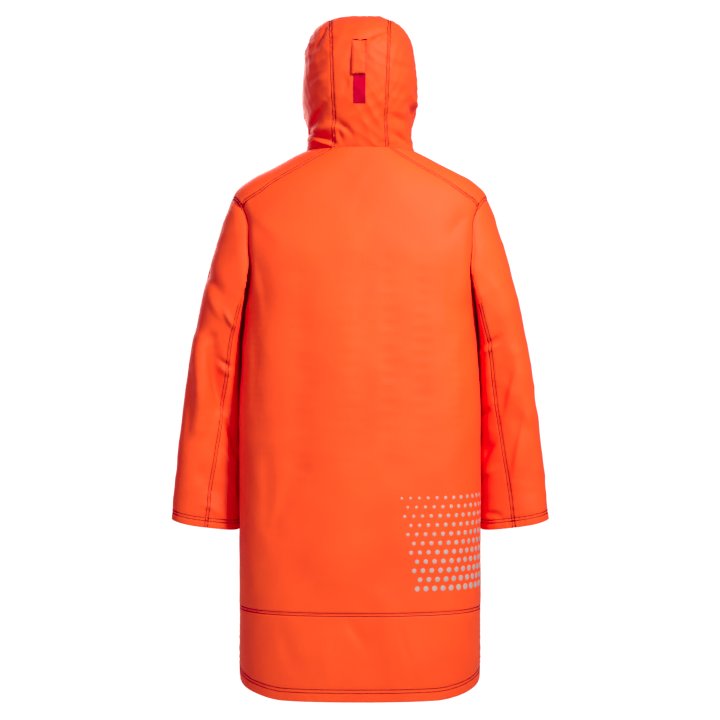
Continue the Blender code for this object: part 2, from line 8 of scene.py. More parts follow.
import bpy
import numpy as np
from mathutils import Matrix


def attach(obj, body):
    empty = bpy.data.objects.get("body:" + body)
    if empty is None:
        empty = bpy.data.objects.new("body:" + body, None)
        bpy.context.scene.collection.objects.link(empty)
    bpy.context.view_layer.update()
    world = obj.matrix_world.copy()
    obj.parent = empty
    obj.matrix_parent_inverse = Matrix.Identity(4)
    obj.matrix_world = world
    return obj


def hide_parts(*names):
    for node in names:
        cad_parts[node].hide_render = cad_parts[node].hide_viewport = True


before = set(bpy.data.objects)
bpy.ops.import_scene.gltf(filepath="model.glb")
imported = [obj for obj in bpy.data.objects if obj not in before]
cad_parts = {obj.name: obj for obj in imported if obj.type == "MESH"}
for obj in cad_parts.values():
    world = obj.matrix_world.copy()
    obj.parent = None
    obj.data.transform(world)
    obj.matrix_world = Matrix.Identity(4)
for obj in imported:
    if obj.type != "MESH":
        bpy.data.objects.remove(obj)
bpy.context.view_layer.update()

bl_info = {
    "name": "Warm-up Coat",
    "version": (1, 0, 0),
    "blender": (4, 5, 0),
    "location": "View3D > Sidebar > Coat",
    "description": "Sews a knee-length hooded warm-up coat, piece by piece",
    "category": "Add Mesh",
}

MM = 0.001
WALL = 3.0 * MM             # of shell, padding and lining
BAND_SEAM = -0.885          # heights from here
HEM = -1.048
NECK = -0.003
FRONT_YOKE = -0.055         # where the front's two grids meet at the zip
FRONT_EDGE = 4.0 * MM       # of each front from the centre line

# torso rings: height, half width, depth to back, depth to front, squareness, front drop
TORSO = np.array([
    # height  half    back    front   square  drop
    (-1.060, 0.2330, 0.1520, 0.1520, 2.60, 0.000),
    (-0.885, 0.2340, 0.1490, 0.1490, 2.60, 0.000),
    (-0.740, 0.2345, 0.1475, 0.1475, 2.60, 0.000),
    (-0.600, 0.2350, 0.1460, 0.1460, 2.60, 0.000),
    (-0.480, 0.2335, 0.1440, 0.1440, 2.60, 0.000),
    (-0.380, 0.2275, 0.1420, 0.1420, 2.60, 0.000),
    (-0.305, 0.2245, 0.1400, 0.1400, 2.60, 0.000),
    (-0.250, 0.2370, 0.1360, 0.1370, 2.60, 0.000),
    (-0.200, 0.2465, 0.1310, 0.1330, 2.60, 0.000),
    (-0.150, 0.2500, 0.1230, 0.1280, 2.45, 0.006),
    (-0.0975, 0.2485, 0.1120, 0.1210, 2.30, 0.015),
    (-0.078, 0.2370, 0.1070, 0.1170, 2.25, 0.022),
    (-0.0585, 0.2115, 0.1010, 0.1120, 2.20, 0.030),
    (-0.039, 0.1745, 0.0940, 0.1080, 2.15, 0.038),
    (-0.020, 0.1390, 0.0860, 0.1040, 2.10, 0.046),
    (NECK, 0.1040, 0.0780, 0.1000, 2.10, 0.052),
])

# back-set shoulder seam: height, angle from the side in degrees
SHOULDER_SEAM = np.array([
    (-0.1149, 29.4), (-0.104, 33.0), (-0.0906, 39.5), (-0.064, 45.0),
    (-0.0374, 50.0), (-0.0108, 55.0), (NECK, 57.0),
])
ARMHOLE_ANGLE = 36.0        # the armhole's half width in degrees
ARMHOLE_MIDDLE = -0.2000
ARMHOLE_HALF_HEIGHT = 0.1044
ARMHOLE_JOIN = 45.0         # turn at which the shoulder seam meets it

# sleeve sections from armhole to cuff; wrap is how far the inner edge lies in front
SLEEVE = np.array([
    # along  outer x  outer z  inner x  inner z  depth   centre y  wrap
    (0.00, 0.2485, -0.0956, 0.2245, -0.3044, 0.083, 0.000, 0.000),
    (0.06, 0.2640, -0.1340, 0.2305, -0.3290, 0.084, 0.000, 0.004),
    (0.15, 0.2830, -0.1950, 0.2330, -0.3680, 0.084, -0.002, 0.014),
    (0.30, 0.3080, -0.2925, 0.2340, -0.4340, 0.081, -0.005, 0.032),
    (0.50, 0.3345, -0.4250, 0.2340, -0.5220, 0.075, -0.008, 0.046),
    (0.75, 0.3555, -0.5900, 0.2335, -0.6300, 0.069, -0.011, 0.046),
    (1.00, 0.3690, -0.7195, 0.2335, -0.7390, 0.064, -0.012, 0.042),
])
SLEEVE_SQUARE = 2.2
CORNER_SQUARE = 2.0     # what the inner back corner of the sleeve adds to that
CORNER_START = 0.10     # share of the sleeve at which that corner begins
SLEEVE_BLEND = 0.30     # share over which the sleeve leaves the armhole's loop
CUFF_BOW = 0.004
HOOD_BLEND = 0.25       # share over which the hood leaves the neck ring
ARMHOLE_SQUARE = (2.4, 3.4)     # squareness of the armhole at its foot and top
ARMHOLE_TURN = 0.5
# seam between outer and under sleeve: along, turn in degrees
SLEEVE_SEAM = np.array([
    (0.0, 120.0), (0.3, 118.0), (0.5, 113.0), (0.7, 104.0), (0.85, 97.0), (1.0, 93.0),
])

# hood ribs: along, half width, squareness, back y, back z, face x, face y, face z, strip
HOOD = np.array([
    # along  half    square  back y   back z   face x  face y   face z   strip
    (0.000, 0.1040, 2.10, 0.0780, -0.003, FRONT_EDGE, -0.1000, -0.055, 0.0525),
    (0.125, 0.1015, 2.30, 0.0960, 0.045, 0.0420, -0.1200, -0.025, 0.0490),
    (0.250, 0.1045, 2.50, 0.1160, 0.098, 0.0660, -0.1320, 0.010, 0.0515),
    (0.375, 0.1125, 2.60, 0.1230, 0.152, 0.0820, -0.1380, 0.050, 0.0535),
    (0.500, 0.1095, 2.60, 0.1130, 0.203, 0.0870, -0.1410, 0.090, 0.0555),
    (0.625, 0.1070, 2.60, 0.0750, 0.241, 0.0870, -0.1420, 0.122, 0.0565),
    (0.750, 0.1035, 2.60, 0.0120, 0.2575, 0.0850, -0.1420, 0.146, 0.0570),
    (0.875, 0.0995, 2.60, -0.0600, 0.255, 0.0830, -0.1415, 0.162, 0.0565),
    (1.000, 0.0970, 2.60, -0.1280, 0.243, 0.0820, -0.1400, 0.172, 0.0560),
])

# hem corners at the side vents
CORNER_RISE = 0.033         # of the hem, in a long curve
CORNER_LENGTH = 0.170
CORNER_POWER = 1.4
CORNER_RADIUS = 0.018       # of the round corner itself
VENT_TOP = 0.15             # half the vent's opening in degrees, at the band seam
VENT_FOOT = 1.6             # and at the hem
VENT_REACH = 0.03

# broad folds, as in the solids: from (x, z) to (x, z), width, height, back or front
FOLDS = [
    (0.045, -0.300, 0.030, -0.800, 0.045, 0.0030, 1),
    (0.125, -0.250, 0.110, -0.860, 0.035, -0.0030, 1),
    (-0.080, -0.280, -0.115, -0.820, 0.040, -0.0030, 1),
    (-0.175, -0.350, -0.170, -0.800, 0.030, 0.0025, 1),
    (-0.040, -0.860, -0.100, -0.980, 0.025, 0.0035, 1),
    (0.130, -0.610, 0.170, -0.720, 0.030, -0.0035, 1),
    (0.090, -0.320, 0.100, -0.820, 0.035, -0.0030, -1),
    (-0.095, -0.320, -0.090, -0.820, 0.035, -0.0030, -1),
    (0.150, -0.300, 0.150, -0.850, 0.030, 0.0025, -1),
    (-0.150, -0.300, -0.150, -0.850, 0.030, 0.0025, -1),
    (0.305, -0.370, 0.312, -0.540, 0.016, 0.0050, 1),
    (0.285, -0.370, 0.268, -0.500, 0.013, -0.0070, 1),
    (-0.300, -0.400, -0.325, -0.520, 0.016, 0.0045, 1),
    (-0.310, -0.530, -0.335, -0.660, 0.018, -0.0040, 1),
    (0.300, -0.360, 0.275, -0.520, 0.020, -0.0045, -1),
    (-0.300, -0.360, -0.275, -0.520, 0.020, -0.0045, -1),
    (0.088, 0.030, 0.052, 0.034, 0.010, 0.0060, 1),
]
FOLD_SIDE_DEPTH = 0.030

# creases: start, middle and end in millimetres (x, z), width on the left
# and on the right of the run, height (a trough is negative), and back or front
TORSO_CREASES = [
    # x0   z0    xm   zm    x1   z1   left right height side
    (22, -180, 20, -400, 24, -610, 26, 26, 1.3, 1),
    (112, -200, 108, -420, 112, -640, 22, 30, -1.3, 1),
    (-49, -200, -52, -400, -50, -620, 14, 18, -1.1, 1),
    (-114, -200, -118, -380, -112, -600, 16, 18, -1.2, 1),
    (-155, -190, -152, -280, -156, -380, 8, 12, 1.0, 1),
    (-185, -300, -184, -450, -186, -600, 12, 10, 1.0, 1),
    (202, -300, 203, -400, 200, -500, 8, 16, -1.6, 1),
    (178, -582, 176, -650, 180, -720, 10, 16, -1.8, 1),
    (129, -618, 146, -670, 166, -732, 7, 26, -2.0, 1),
    (206, -130, 180, -150, 150, -190, 10, 18, 1.2, 1),
    (-204, -134, -186, -150, -165, -182, 14, 8, -1.4, 1),
    (198, -215, 185, -262, 178, -330, 7, 20, -1.6, 1),
    (-199, -170, -194, -240, -196, -300, 8, 8, 1.2, 1),
    (26, -893, 12, -920, -10, -950, 6, 16, -1.8, 1),
    (-72, -912, -82, -950, -93, -985, 6, 14, -1.8, 1),
    (-40, -905, -50, -950, -60, -1000, 14, 14, 1.2, 1),
    (150, -905, 140, -950, 120, -1000, 12, 18, -1.0, 1),
    (66, -900, 72, -950, 62, -1000, 14, 14, 1.0, 1),
    (-198, -215, -185, -262, -178, -330, 20, 9, -2.2, -1),
    (198, -215, 185, -262, 178, -330, 9, 20, -2.2, -1),
    (60, -160, 70, -240, 66, -340, 18, 18, -1.4, -1),
    (-70, -150, -62, -230, -72, -330, 18, 18, -1.4, -1),
    (110, -560, 130, -650, 120, -760, 20, 28, -2.0, -1),
    (-120, -500, -104, -600, -116, -740, 24, 20, -2.0, -1),
    (50, -400, 56, -520, 46, -640, 16, 12, 1.2, -1),
    (-52, -420, -46, -560, -58, -700, 12, 18, 1.2, -1),
    (30, -905, 52, -950, 60, -1000, 12, 18, -1.6, -1),
    (-34, -905, -50, -950, -66, -1005, 16, 12, -1.6, -1),
]
SLEEVE_CREASES = [
    # left sleeve, back
    (291, -396, 284, -461, 264, -505, 5, 16, -3.6, 1),
    (312, -371, 309, -440, 303, -519, 12, 14, 2.4, 1),
    (325, -434, 330, -500, 335, -557, 9, 14, -2.2, 1),
    (262, -519, 252, -545, 238, -600, 5, 9, -2.8, 1),
    (270, -410, 260, -419, 246, -424, 4, 6, -2.2, 1),
    (270, -424, 262, -432, 250, -438, 5, 5, 1.4, 1),
    (262, -590, 250, -606, 240, -612, 4, 6, 1.8, 1),
    (258, -316, 250, -334, 240, -350, 5, 6, 2.0, 1),
    (250, -640, 244, -660, 238, -690, 5, 6, 1.8, 1),
    (300, -232, 288, -262, 262, -286, 9, 12, -1.8, 1),
    (290, -280, 280, -310, 262, -330, 8, 10, 1.4, 1),
    (318, -600, 300, -650, 262, -680, 14, 18, -1.6, 1),
    (300, -690, 280, -700, 262, -716, 6, 8, 1.2, 1),
    # right sleeve, back
    (-300, -425, -291, -470, -281, -522, 7, 18, 2.2, 1),
    (-316, -525, -306, -570, -297, -640, 7, 20, 2.4, 1),
    (-240, -383, -252, -378, -268, -366, 4, 6, -2.2, 1),
    (-238, -395, -250, -390, -264, -382, 5, 5, 1.6, 1),
    (-232, -606, -246, -590, -260, -568, 6, 12, -2.4, 1),
    (-232, -640, -246, -628, -262, -620, 6, 8, 1.6, 1),
    (-230, -520, -238, -512, -248, -508, 4, 5, -2.2, 1),
    (-244, -712, -262, -704, -276, -716, 5, 6, -1.6, 1),
    (-270, -240, -284, -270, -300, -280, 10, 10, -1.2, 1),
    (-266, -150, -276, -168, -290, -176, 8, 8, -1.2, 1),
    # inner sides, round the body
    (234, -270, 234, -350, 236, -440, 14, 14, 2.2, -1),
    (-234, -270, -234, -350, -236, -440, 14, 14, 2.2, -1),
    (-232, -300, -236, -380, -240, -460, 16, 16, 1.2, 1),
    # fronts of the sleeves
    (262, -250, 280, -290, 300, -300, 10, 12, -2.4, -1),
    (258, -300, 276, -340, 300, -356, 10, 12, 1.8, -1),
    (262, -420, 282, -452, 312, -462, 8, 12, -3.0, -1),
    (258, -450, 280, -486, 310, -500, 10, 10, 1.8, -1),
    (266, -520, 290, -560, 300, -620, 10, 14, -2.2, -1),
    (-262, -250, -280, -290, -300, -300, 12, 10, -2.4, -1),
    (-256, -310, -276, -346, -302, -360, 10, 10, 1.8, -1),
    (-262, -430, -284, -460, -312, -470, 12, 8, -3.0, -1),
    (-258, -462, -280, -496, -308, -512, 10, 10, 1.8, -1),
    (-266, -530, -292, -570, -304, -630, 14, 10, -2.2, -1),
]
HOOD_CREASES = [
    # back of the hood
    (66, 228, 72, 206, 92, 186, 4, 10, -2.2, 1),
    (60, 222, 62, 208, 76, 192, 5, 6, 1.4, 1),
    (96, 206, 101, 190, 103, 168, 5, 8, 1.4, 1),
    (66, 84, 86, 58, 100, 34, 5, 9, -2.8, 1),
    (58, 96, 74, 76, 84, 66, 6, 6, 1.4, 1),
    (100, 30, 76, 22, 50, 4, 4, 8, -3.2, 1),
    (98, 18, 80, 12, 52, -2, 5, 5, 2.4, 1),
    (96, 6, 80, 0, 58, -6, 4, 5, -2.6, 1),
    (-11, 196, -30, 206, -51, 215, 5, 8, -1.8, 1),
    (-16, 186, -30, 196, -46, 204, 6, 5, 1.1, 1),
    (51, 44, 32, 36, 14, 18, 5, 7, -1.8, 1),
    (44, 30, 38, 18, 34, 4, 5, 5, -1.4, 1),
    (-94, 78, -104, 70, -110, 50, 5, 6, -2.2, 1),
    (-100, 96, -108, 86, -112, 76, 5, 4, 2.0, 1),
    (-60, 150, -78, 142, -96, 148, 8, 8, -1.0, 1),
    (-58, 60, -74, 46, -88, 50, 8, 8, -1.4, 1),
    (-66, 22, -84, 14, -98, 4, 6, 6, -1.8, 1),
    (28, 122, 22, 108, 34, 96, 6, 5, -1.2, 1),
    (70, 160, 90, 140, 100, 110, 10, 14, -1.4, 1),
    (62, 130, 76, 120, 92, 118, 6, 8, 1.2, 1),
    # sides towards the face
    (92, 20, 84, 8, 60, -6, 7, 8, -3.0, -1),
    (100, 60, 96, 36, 80, 14, 8, 10, -2.4, -1),
    (-92, 20, -84, 8, -60, -6, 8, 7, -3.0, -1),
    (-100, 60, -96, 36, -80, 14, 10, 8, -2.4, -1),
    (70, 236, 40, 246, 10, 246, 8, 8, -1.6, -1),
]

# the hood's tab and the strip under it, as heights above the origin and lifts off the hood
TAB_WIDTH = 0.0283
TAB_CENTRE = 0.0009
TAB_TOP = 0.194
TAB_FOOT = 0.129
TAB_WALL = 0.0016
TAB_SEWN = 0.010            # length sewn flat
TAB_SEWN_LIFT = 0.0005
TAB_FREE_LIFT = 0.0042
STRIP_WIDTH = 0.0226
STRIP_TOP = 0.152
STRIP_FOOT = 0.076
STRIP_WALL = 0.0012
STRIP_LIFT = 0.0004

NECK_RISE = 0.5             # slope of the wall at the neck seam
NECK_SPAN = 0.40            # length of the hood's rib run, for distances from the seam
NECK_REACH = 6.0 * MM
SEWN = 0.01 * MM            # half the gap left between two sewn pieces
EDGE_ROUND = 1.3 * MM       # rounding of every cut edge
GROOVE_WIDTH = 1.4 * MM     # half width of the dent under a row of stitches
GROOVE_DEPTH = 0.9 * MM
THREAD_WIDTH = 1.2 * MM     # of the shell's weave
PUCKER_WAVES = (0.0023, 0.011, 0.037)   # lengths of the puckers' waves, over 2 pi
PUCKER_REACH = 9.0 * MM     # past the last row of stitches
VALLEY_WIDTH = 9.0 * MM     # of the valley in which an armhole seam lies, at the back
BACK_VALLEY = {"left": 5.0 * MM, "right": 2.5 * MM}     # its depth in the back panel
HEAD_VALLEY = {"left": 3.5 * MM, "right": 1.5 * MM}     # and in the sleeves
ZIP_ROWS = (5.0 * MM, 11.0 * MM)        # stitches from the front edge
FACE_ROWS = (20.0 * MM, 14.0 * MM)      # and from the hood's face edge
SUNK_TOP, SUNK_FOOT, SUNK_HALF_WIDTH = -0.128, -0.300, 0.232    # where no sleeve stitch shows
SKIN_FALL = 0.16            # growth of the cell with the distance from a sewn edge
CELL_SHARE = {"front": 1.25, "sleeve": 0.86, "hood": 0.72}      # of the coat's cell

# what the pieces are cut to: width and length, area
CUT = {
    "back_panel": ((0.60, 0.92), 0.48), "front": ((0.34, 1.00), 0.27),
    "hem_band_back": ((0.64, 0.166), 0.100928), "hem_band_front": ((0.32, 0.166), 0.050464),
    "sleeve_outer": ((0.40, 0.66), 0.157), "sleeve_under": ((0.22, 0.50), 0.081),
    "hood_center": ((0.118, 0.54), 0.054), "hood_side": ((0.30, 0.34), 0.075),
}
# lengths over which the cells of a grid are spread
RUN = {"back": 0.55, "front": 0.27, "shoulder": 0.20, "band": 0.165, "sleeve": 0.62}

DOT_ROWS, DOT_COLUMNS, DOT_CORNERS = 11, 12, 24
DOT_TOP, DOT_MIDDLE = -0.668, -0.76
DOT_START, DOT_SLANT = 0.078, 3.0 * MM      # first dot past the centre back, shift a row
DOT_LEAST, DOT_GROWTH = 2.2 * MM, 4.6 * MM  # radius at the upper left, and what it gains
DOT_LIMITS = (177.0, -0.858)                # last angle and lowest height
TOOTH_PITCH = 3.2 * MM
TOOTH_DEPTH = 1.9 * MM                      # middle of the teeth below the cloth's face
TEETH_FOOT, TEETH_TOP = -1.022, -0.066

LIGHT_AIM = (0.0, 0.0, -0.40)
KEY_SPREAD = math.radians(55)
# name, setting, share of its watts, size, place
LIGHTS = [
    ("key", "key", 1.0, 0.9, (-1.7, 2.5, 1.5)),
    ("fill", "fill", 1.0, 2.4, (2.2, 3.0, 0.5)),
    ("front", "fill", 3.0, 2.2, (1.2, -3.2, 0.8)),
]
FLOOR_HEIGHT, FLOOR_RADIUS, DOME_RADIUS = -1.62, 2.1, 14.0

# size and height of the small crumples
CRUMPLE = {"torso": (20.0 * MM, 1.2 * MM), "sleeve": (15.0 * MM, 2.8 * MM),
           "hood": (8.0 * MM, 3.8 * MM)}
# drawn height of the creases against their tables
CREASE_GAIN = {"torso": 1.8, "sleeve": 2.5, "hood": 2.8}

BLACK_LEVEL = (0.0, 0.05, 0.0)      # what the picture's own contrast takes off each colour
WHITE_LEVEL = (0.78, 1.0, 1.0)      # and the level at which each colour is full


# ---- settings ----
class CoatSettings(bpy.types.PropertyGroup):
    """Sizes and colours of the coat that a user would change."""
    cell: bpy.props.FloatProperty(
        name="Cloth cell", description="Distance between points of the cloth, in metres",
        default=0.0045, min=0.002, unit="LENGTH")
    needle_gap: bpy.props.FloatProperty(
        name="Needle gap", description="Distance between the two rows of a double seam",
        default=5.6 * MM, unit="LENGTH")
    stitch_pitch: bpy.props.FloatProperty(
        name="Stitch pitch", description="Length from one stitch to the next",
        default=3.4 * MM, unit="LENGTH")
    thread: bpy.props.FloatProperty(
        name="Thread", description="Radius of the topstitching thread",
        default=0.75 * MM, unit="LENGTH")
    hem_row: bpy.props.FloatProperty(
        name="Hem row", description="Distance of the upper hem row from the edge",
        default=23.4 * MM, unit="LENGTH")
    cuff_row: bpy.props.FloatProperty(
        name="Cuff row", description="Distance of the upper cuff row from the edge",
        default=19.0 * MM, unit="LENGTH")
    pucker: bpy.props.FloatProperty(
        name="Pucker", description="Height of the small puckers along the seams",
        default=0.45 * MM, unit="LENGTH")
    dot_gap: bpy.props.FloatProperty(
        name="Dot gap", description="Distance between reflective dots",
        default=17.0 * MM, unit="LENGTH")
    shell_colour: bpy.props.StringProperty(
        name="Shell", description="Shell cloth, sRGB hex", default="#F36619")
    thread_colour: bpy.props.StringProperty(
        name="Thread colour", description="Topstitching, sRGB hex", default="#2C0A0B")
    strip_colour: bpy.props.StringProperty(
        name="Loop tape", description="Hook-and-loop strip, sRGB hex", default="#D73932")
    dot_colour: bpy.props.StringProperty(
        name="Dots", description="Reflective film, sRGB hex", default="#B4B8AC")
    tape_colour: bpy.props.StringProperty(
        name="Zip tape", description="Zip tape, sRGB hex", default="#5A3A16")
    metal_colour: bpy.props.StringProperty(
        name="Zip metal", description="Painted zip parts, sRGB hex", default="#4A4424")


class StageSettings(bpy.types.PropertyGroup):
    """Camera and lights."""
    distance: bpy.props.FloatProperty(
        name="Distance", description="Camera to the plane of the shoulders",
        default=3.4, unit="LENGTH")
    view_width: bpy.props.FloatProperty(
        name="View width", description="Width seen in the plane of the shoulders",
        default=1.404, unit="LENGTH")
    eye_height: bpy.props.FloatProperty(
        name="Eye height", description="Height of the camera", default=-0.4095, unit="LENGTH")
    key: bpy.props.FloatProperty(name="Key", description="Key light in watts", default=13.0)
    fill: bpy.props.FloatProperty(name="Fill", description="Fill light in watts", default=26.0)
    ambient: bpy.props.FloatProperty(
        name="Ambient", description="Strength of the studio's own light", default=0.26)


# ---- interpolation ----
def curve(table, column, at):
    """A smooth curve through one column of a table, against its first column."""
    order = np.argsort(table[:, 0])
    x, y = table[order, 0], table[order, column]
    slope = np.gradient(y, x)
    at = np.clip(np.asarray(at, float), x[0], x[-1])
    i = np.clip(np.searchsorted(x, at, side="right") - 1, 0, len(x) - 2)
    step = x[i + 1] - x[i]
    t = (at - x[i]) / step
    return (y[i] * (1 + 2 * t) * (1 - t) ** 2 + slope[i] * step * t * (1 - t) ** 2
            + y[i + 1] * t * t * (3 - 2 * t) - slope[i + 1] * step * t * t * (1 - t))


def ease(t):
    """0 to 1 with level ends: 3t^2 - 2t^3."""
    t = np.clip(t, 0.0, 1.0)
    return t * t * (3 - 2 * t)


def round_off(angle, square):
    """Cosine and sine of an angle on a squared-off circle |x|^n + |y|^n = 1."""
    c, s = np.cos(angle), np.sin(angle)
    reach = (np.abs(c) ** square + np.abs(s) ** square) ** (1 / square)
    return c / reach, s / reach


# ---- the three shapes ----
def torso(angle, height):
    """Torso tube: a squared ellipse ring at each height, dropped towards the front."""
    half, back, front, square, drop = (curve(TORSO, k, height) for k in range(1, 6))
    c, s = round_off(np.radians(angle), square)
    fall = drop * np.maximum(0.0, -np.sin(np.radians(angle))) ** 2
    return np.stack([half * c, np.where(s > 0, back, front) * s, height - fall], -1)


def armhole(turn):
    """Angle and height of the armhole loop: a squared ellipse in those two."""
    turn = np.radians(turn)
    foot, top = ARMHOLE_SQUARE
    square = foot + (top - foot) * ease(np.cos(turn) + ARMHOLE_TURN)
    c, s = round_off(turn, square)
    return ARMHOLE_ANGLE * s, ARMHOLE_MIDDLE + ARMHOLE_HALF_HEIGHT * c


def sleeve_section(turn, along):
    """A squared ellipse between the outer and inner edges of the left sleeve."""
    ox, oz, ix, iz, depth, centre, wrap = (curve(SLEEVE, k, along) for k in range(1, 8))
    turn = np.radians(turn)
    corner = np.where(np.sin(turn) > 0, np.maximum(0.0, -np.sin(2 * turn)), 0.0)
    square = SLEEVE_SQUARE + CORNER_SQUARE * corner * ease((along - CORNER_START) / SLEEVE_BLEND)
    c, s = round_off(turn, square)
    return np.stack([(ox + ix) / 2 + (ox - ix) / 2 * c,
                     centre + depth * s - wrap * (1 - c) / 2,
                     (oz + iz) / 2 + (oz - iz) / 2 * c - CUFF_BOW * s ** 2 * along ** 4], -1)


def sleeve(turn, along):
    """Left sleeve tube, drawn to the armhole's own loop at its head."""
    head = torso(*armhole(turn)) - sleeve_section(turn, np.zeros_like(along))
    hold = 1 - ease(along / SLEEVE_BLEND)
    return sleeve_section(turn, along) + head * hold[..., None]


def hood_ring(turn, along):
    """One rib of the hood: a squared ellipse from centre back round to the face edge."""
    half, square, by, bz, fx, fy, fz = (curve(HOOD, k, along) for k in range(1, 8))
    c, s = round_off(turn, square)
    face = -(1 - (fx / half) ** square) ** (1 / square)
    share = (1 - c) / (1 - face)
    return np.stack([half * s, by + (fy - by) * share, bz + (fz - bz) * share], -1)


def hood(turn, along):
    """Left half of the hood; its base is the neck ring."""
    ring = torso(90 - np.degrees(turn), np.full_like(along, NECK))
    hold = 1 - ease(along / HOOD_BLEND)
    base = ring - hood_ring(turn, np.zeros_like(along))
    return hood_ring(turn, along) + base * hold[..., None]


def hood_turn(x, along, front=False):
    """The turn at which a rib is at the given distance from the centre line."""
    half, square = curve(HOOD, 1, along), curve(HOOD, 2, along)
    share = x / half
    rest = np.maximum(0.0, 1 - np.abs(share) ** square) ** (1 / square)
    return np.arctan2(share, -rest if front else rest)


CREASES = {torso: TORSO_CREASES, sleeve: SLEEVE_CREASES, hood: HOOD_CREASES}


# ---- folds ----
def broad_folds(points):
    """Sum of soft bells along straight runs, faded out past the side line."""
    total = np.zeros(points.shape[:-1])
    x, y, z = points[..., 0], points[..., 1], points[..., 2]
    for x0, z0, x1, z1, width, height, side in FOLDS:
        run = np.array((x1 - x0, z1 - z0))
        t = np.clip(((x - x0) * run[0] + (z - z0) * run[1]) / (run @ run), 0, 1)
        gap = np.hypot(x - x0 - t * run[0], z - z0 - t * run[1])
        total += height * np.exp(-(gap / width) ** 2) * ease(side * y / FOLD_SIDE_DEPTH)
    return total


def creases(points, table):
    """Uneven bells along bent runs: narrow on one side, wide on the other, fading at the ends."""
    total = np.zeros(len(points))
    x, y, z = points.T / MM
    steps = np.linspace(0, 1, 18)
    for x0, z0, xm, zm, x1, z1, left, right, height, side in table:
        cx = (1 - steps) ** 2 * x0 + 2 * steps * (1 - steps) * xm + steps ** 2 * x1
        cz = (1 - steps) ** 2 * z0 + 2 * steps * (1 - steps) * zm + steps ** 2 * z1
        reach = 3 * max(left, right)
        near = ((x > cx.min() - reach) & (x < cx.max() + reach) & (z > cz.min() - reach)
                & (z < cz.max() + reach) & (side * y > -8))
        if not near.any():
            continue
        px, py, pz = x[near], y[near], z[near]
        dx, dz = px[:, None] - cx, pz[:, None] - cz
        gap = np.hypot(dx, dz)
        pick = gap.argmin(axis=1)
        tx, tz = np.gradient(cx)[pick], np.gradient(cz)[pick]
        rows = np.arange(len(px))
        ox, oz = dx[rows, pick], dz[rows, pick]
        size = np.hypot(tx, tz)
        across = (tx * oz - tz * ox) / size
        beyond = (tx * ox + tz * oz) / size
        width = np.where(across > 0, left, right)
        end = np.maximum(0, np.abs(beyond) - 1.0) / ((left + right) / 2)
        fade = np.sin(np.pi * np.clip(0.06 + 0.88 * steps[pick], 0, 1)) ** 0.7
        bell = np.exp(-(across / width) ** 2 - end ** 2) * fade
        total[near] += height * MM * bell * ease((side * py + 4) / 14)
    return total


def crumple(points, size, height):
    """Small sharp crumples: 1 - |sin| of three slanting waves, each bent by slower ones.

    A slow swell between 0 and 1 leaves some of the cloth smooth.
    """
    p = points / size
    bent = p + 1.7 * np.sin(0.41 * p[:, [1, 2, 0]] + (0.3, 1.9, 4.1))
    runs = np.array([(0.8, 0.3, 0.6), (-0.7, 0.4, 0.5), (0.2, 0.5, -0.9)])
    ridges = 1 - np.abs(np.sin(bent @ runs.T + (0.0, 1.1, 2.3)))
    swell = 0.5 + 0.5 * np.sin(0.33 * p @ (0.6, 0.5, 0.7) + 2 * np.sin(0.21 * p @ (0.5, 0.2, -0.8)))
    return height * (ridges.mean(axis=1) - 0.36) * (0.35 + 0.65 * swell)


def ripple(points):
    """Faint unevenness of padded cloth: a few long slanting waves."""
    x, y, z = points.T
    return 0.35 * MM * (np.sin(41 * x + 17 * z + 2 * np.sin(23 * z + 9 * y))
                        + np.sin(29 * z - 37 * x + 11 * y)
                        + 0.7 * np.sin(67 * z + 31 * x + 3 * np.sin(31 * x)))


def neck_outward(angle):
    """The direction in which both walls stand where hood and body are sewn together."""
    turn = np.radians(angle)
    out = np.stack([np.cos(turn), np.sin(turn), np.full_like(turn, NECK_RISE)], -1)
    return out / np.linalg.norm(out, axis=1, keepdims=True)


def share_neck(shape, u, v, normals):
    """Turns the normals near the neck seam to the direction that both walls share."""
    if shape is sleeve:
        return normals
    angle, off = (u, NECK - v) if shape is torso else (90 - np.degrees(u), v * NECK_SPAN)
    hold = np.exp(-(off / NECK_REACH) ** 2)[:, None]
    normals = normals * (1 - hold) + neck_outward(angle) * hold
    return normals / np.linalg.norm(normals, axis=1, keepdims=True)


def surface(shape, uv, mirror=False):
    """Points and outward normals of a shape with its folds, for rows of parameters."""
    u, v = uv[:, 0], uv[:, 1]
    du, dv = 1e-3, 1e-4
    points = shape(u, v)
    across = shape(u + du, v) - shape(u - du, v)
    along = shape(u, v + dv) - shape(u, v - dv)
    normals = np.cross(across, along)
    normals /= np.linalg.norm(normals, axis=1, keepdims=True)
    if shape is not torso:
        normals = -normals
    normals = share_neck(shape, u, v, normals)
    if mirror:
        flip = np.array((-1.0, 1.0, 1.0))
        points, normals = points * flip, normals * flip
    kind = shape.__name__
    lift = (broad_folds(points) + CREASE_GAIN[kind] * creases(points, CREASES[shape])
            + crumple(points, *CRUMPLE[kind]) + ripple(points))
    return points + normals * lift[:, None], normals


# ---- grids ----
def spread(length, cell, fine=0.9 * MM, start=True, end=True):
    """Places from 0 to 1 along a length, close together near the sewn ends."""
    places = [0.0]
    while places[-1] < length:
        at = places[-1]
        gap = min(at if start else length, length - at if end else length)
        places.append(at + min(cell, fine + SKIN_FALL * max(gap, 0.0)))
    return np.array(places) / places[-1]


def patch(rows, columns, start=0):
    """Quads of a grid of points, row by row."""
    i, j = np.meshgrid(np.arange(rows - 1), np.arange(columns - 1), indexing="ij")
    a = (start + i * columns + j).ravel()
    return np.stack([a, a + 1, a + columns + 1, a + columns], -1)


def weld(uv, quads):
    """Joins the parameter points that lie on each other; also says where each went."""
    keys = np.round(uv, 7)
    _, first, inverse = np.unique(keys, axis=0, return_index=True, return_inverse=True)
    inverse = inverse.ravel()
    return uv[first], inverse[quads], inverse


